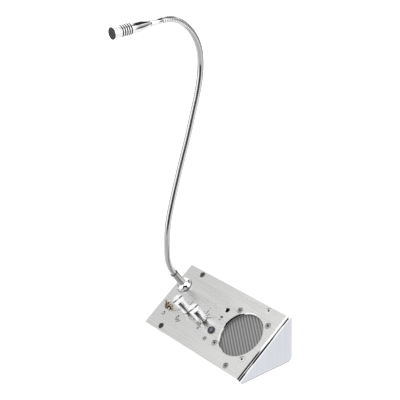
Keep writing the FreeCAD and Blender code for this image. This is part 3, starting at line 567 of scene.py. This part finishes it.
def screw_steel():
    """Screw heads with a random wear in their tone, each painted with its own level of reflected
    light, with painted shade in the socket and on the side away from the light.
    """
    f = Finish("screw_steel")
    u, v, _ = plate_place(f)
    wear = f.noise(f.place, WEAR_SCALE, 3.0)
    level = Value(f, f.add("ShaderNodeValue", {}, {}).outputs[0])
    level.socket.default_value = 0.5
    # Each head is painted with its own level of reflected light, with painted shade on the side away from the
    # light and in its socket.
    for screw_u, screw_v, head, socket in SCREW_LIGHT_LEVELS:
        du, dv = u - screw_u, v - screw_v
        apart = (du * du + dv * dv).math("SQRT")
        side = (dv - du).step(*HEAD_SHADE) * 0.5
        tone = (1.0 - side) * head
        tone = tone + (socket - tone) * apart.step(*SOCKET_REACH)
        level = level + (tone - level) * apart.step(*HEAD_REACH)
    level = level * (wear * 0.3 + 0.85)
    colour = f.node("ShaderNodeCombineColor", {}, {0: level, 1: level * 0.975, 2: level * 0.95})
    return f.surface({"Base Color": colour, "Metallic": 1.0, "Roughness": wear * 0.15 + 0.25})


def nickel(name, low, high, roughness):
    """Warm plating, in patches of two tones."""
    f = Finish(name)
    cloud = f.noise(f.place, PATCH_SCALE, 1.0).step(0.40, 0.58)
    return f.surface({"Base Color": f.mix(cloud, low, high), "Metallic": 1.0,
                      "Roughness": cloud * 0.1 + roughness})


def plain(name, low, high, roughness, metallic=0.0, grain=0.00001, coat=0.0):
    """A moulded, painted or pressed finish with a fine grain."""
    f = Finish(name)
    cloud = f.noise(f.place, WEAR_SCALE, 4.0)
    sockets = {"Base Color": f.mix(cloud, low, high), "Metallic": metallic,
               "Roughness": cloud * 0.12 + roughness, "Normal": f.bump(cloud, grain, 0.4)}
    if coat:
        sockets["Coat Weight"] = coat
    return f.surface(sockets)


def lit_table():
    """White table top, lit a little from below."""
    f = Finish("lit_table")
    cloud = f.noise(f.place, 3.0)
    return f.surface({"Base Color": f.mix(cloud, grey(0.86), grey(0.90)), "Roughness": 0.8,
                      "Emission Color": grey(1.0), "Emission Strength": 0.8})


def woven_cloth():
    """Thin open cloth behind the grille."""
    f = Finish("dust_cloth")
    x, y, _ = f.apart(f.place)
    warp, weft = [(way * WEAVE).math("SINE") * 0.5 + 0.5 for way in (x, y)]
    weave = warp * weft
    return f.surface({"Base Color": f.mix(weave, grey(0.20), grey(0.30)), "Roughness": 0.9,
                      "Normal": f.bump(weave, 0.00005)})


# Chrome: level and roughness. Nickel: low tone, high tone and roughness
CHROMES = {
    "neck_chrome": (0.97, 0.06),
    "mic_chrome": (0.95, 0.04),
    "knob_metal": (0.93, 0.08),
}
NICKELS = {
    "shaft_brass": ((0.72, 0.56, 0.28, 1), (0.85, 0.70, 0.40, 1), 0.25),
    "switch_nickel": ((0.07, 0.055, 0.04, 1), (0.86, 0.75, 0.62, 1), 0.10),
}
# Plain finishes: low tone, high tone, roughness, and what differs from a dull, uncoated surface
PLAINS = {
    # The neck's grooves get painted shade: a dark, dull metal.
    "neck_groove": (grey(0.08), grey(0.15), 0.45, {"metallic": 0.8}),
    "mic_mesh": (grey(0.05), grey(0.12), 0.4, {"metallic": 0.6}),
    "black_plastic": (grey(0.010), grey(0.022), 0.18, {"coat": 0.4}),
    "lamp_lens": ((0.035, 0.045, 0.075, 1), (0.09, 0.11, 0.17, 1), 0.08, {"coat": 1.0}),
    "grille_metal": (grey(0.31), grey(0.40), 0.42, {"metallic": 0.5}),
    "speaker_steel": (grey(0.45), grey(0.60), 0.35, {"metallic": 1.0}),
    "magnet_ferrite": (grey(0.02), grey(0.05), 0.7, {}),
    "cone_paper": (grey(0.02), grey(0.05), 0.85, {"grain": 0.00004}),
    "pad_rubber": (grey(0.02), grey(0.04), 0.8, {"grain": 0.00004}),
    "board_green": ((0.01, 0.09, 0.03, 1), (0.02, 0.16, 0.06, 1), 0.3, {"coat": 0.5}),
    "chip_black": (grey(0.015), grey(0.03), 0.6, {}),
    "header_white": ((0.75, 0.72, 0.62, 1), (0.85, 0.82, 0.74, 1), 0.5, {}),
    "pot_case": (grey(0.40), grey(0.55), 0.35, {"metallic": 1.0}),
}

FINISHES = {
    "case_steel": brushed_case(),
    "fastener_steel": screw_steel(),
    "dust_cloth": woven_cloth(),
}
for slot_name, values in CHROMES.items():
    FINISHES[slot_name] = chrome(slot_name, *values)
for slot_name, values in NICKELS.items():
    FINISHES[slot_name] = nickel(slot_name, *values)
for slot_name, (low_tone, high_tone, rough_level, others) in PLAINS.items():
    FINISHES[slot_name] = plain(slot_name, low_tone, high_tone, rough_level, **others)


def dress_nodes():
    """Every node of the frame gets the finish of its slot."""
    slots = {part["node"]: part["material_slot"] for part in frame["record"]["subparts"]}
    for name, node in frame["nodes"].items():
        finish = FINISHES[slots[name]]
        if node.material_slots:
            for place in node.material_slots:
                place.material = finish
        else:
            node.data.materials.append(finish)
    frame["nodes"]["face_plate"].material_slots[0].material = brushed_plate()


# ---------------------------------------------------------------- modelling


# How close points merge, and how far faces turn, in degrees, before their edge shows as sharp
MERGE = 1e-6
COARSE_SMOOTH, KNOB_SMOOTH, FINE_SMOOTH = 32.0, 25.0, 20.0


def select_only(piece):
    bpy.ops.object.select_all(action="DESELECT")
    piece.select_set(True)
    bpy.context.view_layer.objects.active = piece


@contextmanager
def editing(piece):
    select_only(piece)
    bpy.ops.object.mode_set(mode="EDIT")
    yield
    bpy.ops.object.mode_set(mode="OBJECT")


def modify(piece, kind, **settings):
    """Adds a modifier and applies it."""
    select_only(piece)
    bpy.ops.object.modifier_add(type=kind)
    modifier = piece.modifiers[-1]
    for key, value in settings.items():
        setattr(modifier, key, value)
    bpy.ops.object.modifier_apply(modifier=modifier.name)


def drawn(points):
    """A line in the XZ plane, pulled on from point to point."""
    bpy.ops.object.select_all(action="DESELECT")
    bpy.ops.mesh.primitive_plane_add(size=0.001)
    line = bpy.context.object
    with editing(line):
        bpy.ops.mesh.select_all(action="SELECT")
        bpy.ops.mesh.merge(type="CENTER")
        bpy.ops.transform.translate(value=(points[0][0], 0, points[0][1]))
        for here, ahead in zip(points, points[1:]):
            step = (ahead[0] - here[0], 0, ahead[1] - here[1])
            bpy.ops.mesh.extrude_region_move(TRANSFORM_OT_translate={"value": step})
    return line


def arc(middle_r, middle_h, radius, start, end, steps=5):
    """Points on an arc of a profile, its angles counted from outwards to upwards."""
    angles = [math.radians(start + (end - start) * i / steps) for i in range(steps + 1)]
    return [(middle_r + radius * math.cos(a), middle_h + radius * math.sin(a)) for a in angles]


def turned(points, steps=96):
    """A round piece: its profile, from the axis or back to its first point, swept once round Z."""
    piece = drawn(points)
    modify(piece, "SCREW", angle=2 * math.pi, screw_offset=0.0, steps=steps, render_steps=steps,
           axis="Z", use_merge_vertices=True, merge_threshold=MERGE)
    clean(piece)
    return piece


def clean(piece):
    """Merges what meets and turns every face outwards."""
    with editing(piece):
        bpy.ops.mesh.select_all(action="SELECT")
        bpy.ops.mesh.remove_doubles(threshold=MERGE)
        bpy.ops.mesh.normals_make_consistent(inside=False)


def finished(piece, name, slot, body, place=Matrix(), replaces=(), finish=None,
             smooth=COARSE_SMOOTH):
    """Puts a piece in its place, with the place in its mesh, and hands it to its body."""
    piece.name = name
    piece.data.name = name
    piece.matrix_world = place
    select_only(piece)
    bpy.ops.object.transform_apply(location=True, rotation=True, scale=True)
    bpy.ops.object.shade_smooth_by_angle(angle=math.radians(smooth))
    piece.data.materials.clear()
    piece.data.materials.append(finish or FINISHES[slot])
    if replaces:
        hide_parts(*replaces)
    if body:
        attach(piece, body)
    return piece


def cut_by(piece, cutter):
    """Takes one solid away from another."""
    modify(piece, "BOOLEAN", operation="DIFFERENCE", solver="EXACT", object=cutter)
    bpy.data.objects.remove(cutter)


# ---------------------------------------------------------------- neck


def neck_path():
    """The pivots along the neck and the direction there, each stretch between two being an arc."""
    pivots = [Vector(j["pos_m"]) for j in frame["joints"] if j["name"].startswith("neck")]
    points = [on_plate(NECK_U, NECK_V, DOME_TOP + FERRULE_LENGTH).translation] + pivots
    ways = [NORMAL.copy()]
    for here, ahead in zip(points, points[1:]):
        chord = (ahead - here).normalized()
        ways.append(2 * chord.dot(ways[-1]) * chord - ways[-1])
    turn = math.radians(-NECK_END_TURN)
    reach = NECK_PIECE / turn
    lean = Matrix.Rotation(turn / 2, 3, "X") @ ways[-1]
    points.append(points[-1] + lean * (2 * reach * math.sin(turn / 2)))
    ways.append(Matrix.Rotation(turn, 3, "X") @ ways[-1])
    points.append(points[-1] + ways[-1] * NECK_PIECE)
    ways.append(ways[-1].copy())
    return points, ways


def neck_guide(points, ways):
    """A Bezier line along the neck, for the Curve modifier."""
    line = bpy.data.curves.new("neck_guide", "CURVE")
    line.dimensions = "3D"
    line.resolution_u = 24
    spline = line.splines.new("BEZIER")
    spline.bezier_points.add(len(points) - 1)
    for bend, point, way in zip(spline.bezier_points, points, ways):
        bend.co = point
        bend.handle_left = point - way * NECK_PIECE / 3
        bend.handle_right = point + way * NECK_PIECE / 3
    guide = bpy.data.objects.new("neck_guide", line)
    bpy.context.scene.collection.objects.link(guide)
    return guide


def wound_tube(start, end):
    """A stretch of wound strip: a flat outer face with a narrow groove at each turn."""
    first = math.floor(start / COIL_PITCH) - 1
    turns = math.ceil(end / COIL_PITCH) - first + 1
    low = first * COIL_PITCH
    deep, lip = NECK_RADIUS - COIL_GROOVE, NECK_RADIUS - COIL_LIP
    half, edge = COIL_PITCH * GROOVE_SHARE / 2, COIL_LIP * 2
    profile = [
        (deep, low),
        (lip, low + half),
        (NECK_RADIUS, low + half + edge),
        (NECK_RADIUS, low + COIL_PITCH - half - edge),
        (lip, low + COIL_PITCH - half),
        (deep, low + COIL_PITCH),
    ]
    tube = drawn(profile)
    modify(tube, "SCREW", angle=2 * math.pi, screw_offset=COIL_PITCH, iterations=turns,
           steps=TURN_STEPS, render_steps=TURN_STEPS, axis="Z", use_merge_vertices=True,
           merge_threshold=MERGE)
    with editing(tube):
        for height, side in ((start, -1), (end, 1)):
            bpy.ops.mesh.select_all(action="SELECT")
            bpy.ops.mesh.bisect(plane_co=(0, 0, height), plane_no=(0, 0, side), clear_outer=True)
    clean(tube)
    return tube


def groove_faces(tube):
    """Which faces of a straight stretch of tube lie in its groove."""
    inside = NECK_RADIUS - GROOVE_MARGIN
    return [math.hypot(*face.center.xy) < inside for face in tube.data.polygons]


def darken_grooves(skin, in_groove):
    """Gives the walls of the groove their own, darker material: painted shade in the groove."""
    skin.data.materials.append(FINISHES["neck_groove"])
    for face in skin.data.polygons:
        face.material_index = int(in_groove[face.index])


def neck_skins():
    """One skin across each pivot, from the middle of one piece to the middle of the next."""
    points, ways = neck_path()
    guide = neck_guide(points, ways)
    chain = [j for j in frame["joints"] if j["name"].startswith("neck")]
    for number, joint in enumerate(chain, 1):
        start = (number - 0.5) * NECK_PIECE if number > 1 else 0.0
        end = (number + 0.5) * NECK_PIECE
        replaced = ["neck_%02d" % number]
        if number == len(chain):
            end = (number + 1) * NECK_PIECE + SLEEVE_START
            replaced.append("neck_%02d" % (number + 1))
        skin = wound_tube(start, end)
        in_groove = groove_faces(skin)
        modify(skin, "CURVE", object=guide, deform_axis="POS_Z")
        finished(skin, "neck_skin_%02d" % number, "neck_chrome", None, replaces=replaced,
                 smooth=FINE_SMOOTH)
        darken_grooves(skin, in_groove)
        pivot, reach = points[number], ways[number] * NECK_PIECE * BEND_SHARE
        pivot - reach
        pivot + reach
        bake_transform(skin)
    bpy.data.objects.remove(guide)
    return points[-2], ways[-2]


def neck_foot():
    """Flanged dome and the ferrule that grips the neck."""
    dome = [(NECK_BORE, -STUD_LENGTH), (STUD_RADIUS, -STUD_LENGTH), (STUD_RADIUS, 0.0)]
    dome += [(FLANGE_RADIUS, 0.0)]
    dome += arc(FLANGE_RADIUS - FLANGE_ROUND, FLANGE_HEIGHT - FLANGE_ROUND, FLANGE_ROUND, 0, 90, 4)
    dome += [(DOME_RADIUS, FLANGE_HEIGHT)]
    high = math.acos(FERRULE_RADIUS / DOME_RADIUS)
    rise = (DOME_TOP - DOME_FOOT) / math.sin(high)
    for i in range(DOME_STEPS + 1):
        angle = high * i / DOME_STEPS
        dome += [(DOME_RADIUS * math.cos(angle), DOME_FOOT + rise * math.sin(angle))]
    dome += [(NECK_BORE, DOME_TOP), (NECK_BORE, -STUD_LENGTH)]
    finished(turned(dome), "neck_dome", "neck_chrome", "console", on_plate(NECK_U, NECK_V),
             replaces=["neck_flange"], finish=dome_chrome())
    top, inside = DOME_TOP + FERRULE_LENGTH, NECK_RADIUS - FERRULE_FIT
    ferrule = [(inside, DOME_TOP), (FERRULE_RADIUS, DOME_TOP)]
    ferrule += arc(FERRULE_RADIUS - FERRULE_LIP, top - FERRULE_LIP, FERRULE_LIP, 0, 90, 5)
    ferrule += [(inside, top), (inside, DOME_TOP)]
    finished(turned(ferrule), "ferrule", "neck_chrome", "console", on_plate(NECK_U, NECK_V),
             replaces=["neck_ferrule"], finish=satin_ferrule())


def along(point, way):
    """A frame at the end of the neck, its Z axis along the microphone."""
    lean = Vector((0, 0, 1)).rotation_difference(way)
    return Matrix.Translation(point) @ lean.to_matrix().to_4x4()


def microphone(point, way):
    """Plain sleeve, and the tapered shell with ring grooves and an open front."""
    place = along(point, way)
    bore = NECK_BORE
    sleeve = [(bore, SLEEVE_START)]
    sleeve += arc(SLEEVE_RADIUS - MIC_EDGE, SLEEVE_START + MIC_EDGE, MIC_EDGE, -90, 0, 4)
    sleeve += arc(SLEEVE_RADIUS - MIC_EDGE, SLEEVE_LENGTH - MIC_EDGE, MIC_EDGE, 0, 90, 4)
    sleeve += [(bore, SLEEVE_LENGTH), (bore, SLEEVE_START)]
    finished(turned(sleeve), "sleeve", "mic_chrome", "microphone", place,
             replaces=["mic_sleeve"])
    shoulder = SLEEVE_LENGTH + CONE_LENGTH
    shell = [(bore, SLEEVE_LENGTH), (CONE_START, SLEEVE_LENGTH), (MIC_RADIUS, shoulder)]
    edge, deep = MIC_EDGE / 3, MIC_RADIUS - GROOVE_DEPTH
    for i in range(GROOVES):
        low = MIC_GROOVES + i * GROOVE_PITCH
        high = low + GROOVE_WIDTH
        shell += [(MIC_RADIUS, low - edge), (MIC_RADIUS - edge, low), (deep, low)]
        shell += [(deep, high), (MIC_RADIUS - edge, high), (MIC_RADIUS, high + edge)]
    shell += arc(MIC_RADIUS - MIC_EDGE, MIC_FRONT - MIC_EDGE, MIC_EDGE, 0, 90, 4)
    floor = MIC_FRONT - MIC_CAVITY_DEPTH
    shell += [(MIC_CAVITY, MIC_FRONT), (MIC_CAVITY, floor), (bore, floor)]
    shell += [(bore, SLEEVE_LENGTH)]
    finished(turned(shell), "microphone_shell", "mic_chrome", "microphone", place,
             replaces=["mic_body"], finish=grooved_chrome(point, way), smooth=FINE_SMOOTH)


# ---------------------------------------------------------------- knobs


def knob(name, u):
    """Tall turned knob: a dished end with a slot across it for a pointer."""
    foot, top = KNOB_FOOT_ROUND, KNOB_TOP_ROUND
    body = [(0.0, KNOB_LIFT), (KNOB_RADIUS - foot, KNOB_LIFT)]
    body += arc(KNOB_RADIUS - foot, KNOB_LIFT + foot, foot, -90, 0, 3)
    body += arc(KNOB_RADIUS - top, KNOB_TOP - top, top, 0, 90, 5)
    dish = KNOB_RADIUS - KNOB_RIM
    sphere = (dish**2 + KNOB_DISH**2) / (2 * KNOB_DISH)
    half = math.degrees(math.asin(dish / sphere))
    for i in range(DISH_STEPS + 1):
        angle = math.radians(half * (1 - i / DISH_STEPS))
        sunk = sphere * (1 - math.cos(angle))
        body += [(sphere * math.sin(angle), KNOB_TOP - KNOB_DISH + sunk)]
    piece = turned(body)
    bpy.ops.object.select_all(action="DESELECT")
    bpy.ops.mesh.primitive_cube_add(size=1.0)
    slot = bpy.context.object
    floor = KNOB_TOP - KNOB_DISH - POINTER_DEPTH
    block = Matrix.Diagonal((POINTER_WIDTH, 4 * KNOB_RADIUS, CUTTER_HEIGHT, 1))
    slot.matrix_world = Matrix.Translation((0, 0, floor + CUTTER_HEIGHT / 2)) @ block
    cut_by(piece, slot)
    finished(piece, name + "_knob_turned", "knob_metal", name + "_control",
             on_plate(u, KNOB_V, 0.0, POINTER_REST), replaces=[name + "_knob"],
             finish=spun_metal(name + "_knob_metal", u), smooth=KNOB_SMOOTH)


# ---------------------------------------------------------------- print on the plate


def bar(u, v, width, height, turn=0.0):
    """A flat bar of print."""
    bpy.ops.object.select_all(action="DESELECT")
    bpy.ops.mesh.primitive_plane_add(size=1.0)
    mark = bpy.context.object
    turned_way = Matrix.Rotation(math.radians(turn), 4, "Z")
    stretched = Matrix.Diagonal((width, height, 1, 1))
    mark.matrix_world = Matrix.Translation((u, v, 0)) @ turned_way @ stretched
    select_only(mark)
    bpy.ops.object.transform_apply()
    return mark


def band(u, v, radius, start, sweep):
    """A curved line of print, its angles counted from +u towards +v."""
    way = math.radians(start)
    start_u, start_v = u + radius * math.cos(way), v + radius * math.sin(way)
    mark = bar(start_u, start_v, LINE_WIDTH, LINE_WIDTH / 20, start)
    steps = max(BAND_FEWEST, int(sweep / BAND_STEP))
    with editing(mark):
        bpy.ops.mesh.select_all(action="SELECT")
        bpy.ops.mesh.spin(steps=steps, angle=math.radians(sweep), center=(u, v, 0),
                          axis=(0, 0, 1))
    return mark


def digit(text, u, v):
    """A plain printed number."""
    bpy.ops.object.select_all(action="DESELECT")
    bpy.ops.object.text_add()
    mark = bpy.context.object
    mark.data.body = text
    mark.data.size = DIGIT_SIZE
    mark.data.align_x = "CENTER"
    mark.data.align_y = "CENTER"
    mark.location = (u, v, 0)
    select_only(mark)
    bpy.ops.object.convert(target="MESH")
    bpy.ops.object.transform_apply()
    return bpy.context.object


def scale_marks(u):
    """Long and short marks round a knob, with plain numbers at the long ones."""
    marks = []
    for i in range(SCALE_MARKS):
        angle = -SCALE_REACH + SCALE_STEP * i
        end = SCALE_SHORT if i % 2 else SCALE_LONG
        middle, length = (SCALE_START + end) / 2, end - SCALE_START
        side, rise = math.sin(math.radians(angle)), math.cos(math.radians(angle))
        marks.append(bar(u + middle * side, KNOB_V + middle * rise, LINE_WIDTH, length, -angle))
        if i % 2 == 0:
            number = str(i // 2 + 1)
            marks.append(digit(number, u + SCALE_DIGITS * side, KNOB_V + SCALE_DIGITS * rise))
    return marks


def ray(u, v, low, high, angle):
    """A short line that runs outwards from a middle."""
    way, middle = math.radians(angle), (low + high) / 2
    return bar(u + middle * math.cos(way), v + middle * math.sin(way), high - low, SIGN_LINE, angle)


def power_sign(u, v):
    """A ring with a gap at its top and a stroke in the gap."""
    return [
        band(u, v, 0.0017, 130, 280),
        bar(u, v + 0.0015, SIGN_LINE, 0.0021),
    ]


def sound_sign(u, v, way):
    """A source and the waves on one side of it: towards +u at 0 degrees, towards -u at 180."""
    u -= SOUND_SHIFT * math.cos(math.radians(way))
    waves = [band(u, v, radius, way - half, 2 * half) for radius, half in SOUND_WAVES]
    return [bar(u, v, *SOUND_SOURCE)] + waves


def lamp_sign(u, v):
    """A ring and eight rays."""
    rays = [ray(u, v, 0.0016, 0.0026, 45 * i) for i in range(8)]
    return [band(u, v, 0.0010, 0, 360)] + rays


def headset_sign(u, v):
    """A microphone in its cradle, on a foot."""
    return [
        bar(u, v + 0.0008, 0.0013, 0.0024),
        band(u, v + 0.0006, 0.0016, 180, 180),
        bar(u, v - 0.0016, SIGN_LINE, 0.0012),
        bar(u, v - 0.0023, 0.0024, SIGN_LINE),
    ]


def signs():
    """Line signs at the controls."""
    marks = power_sign(*SIGNS["power"])
    marks += sound_sign(*SIGNS["talk"], 0)
    marks += sound_sign(*SIGNS["listen"], 180)
    marks += lamp_sign(*SIGNS["lamp"])
    marks += headset_sign(*SIGNS["headset"])
    return marks


def printed_marks():
    """The scales and small line signs, printed in dark ink."""
    marks = signs()
    for u in KNOB_PLACES.values():
        marks += scale_marks(u)
    bpy.ops.object.select_all(action="DESELECT")
    for mark in marks:
        mark.select_set(True)
    bpy.context.view_layer.objects.active = marks[0]
    bpy.ops.object.join()
    sheet = marks[0]
    with editing(sheet):
        bpy.ops.mesh.select_all(action="SELECT")
        bpy.ops.mesh.extrude_region_move(TRANSFORM_OT_translate={"value": (0, 0, PRINT_THICKNESS)})
    clean(sheet)
    ink = plain("dark_ink", grey(0.012), grey(0.03), 0.5)
    finished(sheet, "scale_print", "black_plastic", "console", on_plate(0, 0), finish=ink)


# ---------------------------------------------------------------- studio


# Key light and table
KEY_PLACE, KEY_AIM = (-0.9, 0.5, 1.5), (0, 0, 0.05)
KEY_SIZE, KEY_POWER = 1.0, 8.0
TABLE_SIZE = 12.0

# Brightness of the room, and below the horizon
ROOM_LEVEL = 1.32
TABLE_LEVEL = 0.94
HORIZON = (-2.0, -12.0)
# Each card's middle and half width round the room, its lower and upper height, all in degrees,
# then its soft edge and its level
ROOM_CARDS = [
    (-164.0, 36.0, -12.0, 66.0, 12.0, 0.76),
    (-152.0, 24.0, -14.0, 14.0, 8.0, 0.34),
    (84.0, 44.0, -14.0, 24.0, 12.0, 0.45),
    (80.0, 32.0, 30.0, 56.0, 5.0, 0.03),
    (88.0, 12.0, 60.0, 78.0, 5.0, 0.12),
    (-50.0, 55.0, -80.0, -14.0, 6.0, 0.58),
    (155.0, 32.0, -66.0, -35.0, 6.0, 2.1),
    (100.0, 50.0, 73.0, 84.0, 4.0, 0.35),
    (42.0, 18.0, 50.0, 55.0, 3.0, 0.40),
    (170.0, 22.0, -32.0, -2.0, 8.0, 0.66),
    (112.0, 20.0, -34.0, -14.0, 6.0, 0.76),
    (50.0, 11.0, -19.0, 1.0, 4.0, 0.05),
    (-41.0, 35.0, -14.5, 38.9, 1.6, 0.008),
]


def studio_world():
    """A bright room with a few dark and grey cards, which give polished metal its lines."""
    world = bpy.data.worlds.new("studio")
    bpy.context.scene.world = world
    world.use_nodes = True
    w = Nodes(world.node_tree)
    way = Value(w, w.add("ShaderNodeTexCoord", {}, {}).outputs["Generated"])
    x, y, z = w.apart(way)
    azimuth = y.math("ARCTAN2", x) * DEGREES
    height = z.math("ARCSINE") * DEGREES
    colour = w.mix(height.step(*HORIZON), grey(ROOM_LEVEL), grey(TABLE_LEVEL))
    for middle, half, low, high, edge, level in ROOM_CARDS:
        off = azimuth - middle
        off = (off - (off / 360.0 + 0.5).math("FLOOR") * 360.0).size()
        soft = edge / 2
        across = off.step(half + soft, half - soft)
        up = height.step(low - soft, low + soft) * height.step(high + soft, high - soft)
        colour = w.mix(across * up, colour, grey(level))
    light = w.node("ShaderNodeBackground", {}, {"Color": colour, "Strength": 1.0})
    w.add("ShaderNodeOutputWorld", {}, {"Surface": light})


def key_light():
    """A square soft box that looks at the console and leaves no glint."""
    bpy.ops.object.light_add(type="AREA", location=KEY_PLACE)
    lamp = bpy.context.object
    lamp.name = "key_light"
    lamp.data.size = KEY_SIZE
    lamp.data.energy = KEY_POWER
    lamp.visible_glossy = False
    way = Vector(KEY_AIM) - Vector(KEY_PLACE)
    lamp.rotation_euler = way.to_track_quat("-Z", "Y").to_euler()


def table():
    """The table top that the console stands on."""
    bpy.ops.object.select_all(action="DESELECT")
    bpy.ops.mesh.primitive_plane_add(size=TABLE_SIZE)
    floor = bpy.context.object
    floor.name = "floor"
    floor.data.materials.append(lit_table())
    floor.visible_glossy = False


def studio_camera():
    """The camera, its way of looking given by its right and upward directions."""
    camera_data = bpy.data.cameras.new("camera")
    camera_data.lens = CAMERA_LENS
    camera_data.sensor_width = CAMERA_FILM
    camera = bpy.data.objects.new("camera", camera_data)
    bpy.context.scene.collection.objects.link(camera)
    right, up = Vector(CAMERA_RIGHT).normalized(), Vector(CAMERA_UP).normalized()
    back = right.cross(up).normalized()
    turn = Matrix((right, back.cross(right), back)).transposed().to_4x4()
    camera.matrix_world = Matrix.Translation(CAMERA_PLACE) @ turn
    bpy.context.scene.camera = camera


def studio():
    table()
    studio_world()
    key_light()
    studio_camera()
    bpy.context.scene.view_settings.view_transform = "Standard"


dress_nodes()
end_point, end_way = neck_skins()
neck_foot()
microphone(end_point, end_way)
for knob_name, knob_u in KNOB_PLACES.items():
    knob(knob_name, knob_u)
printed_marks()
studio()
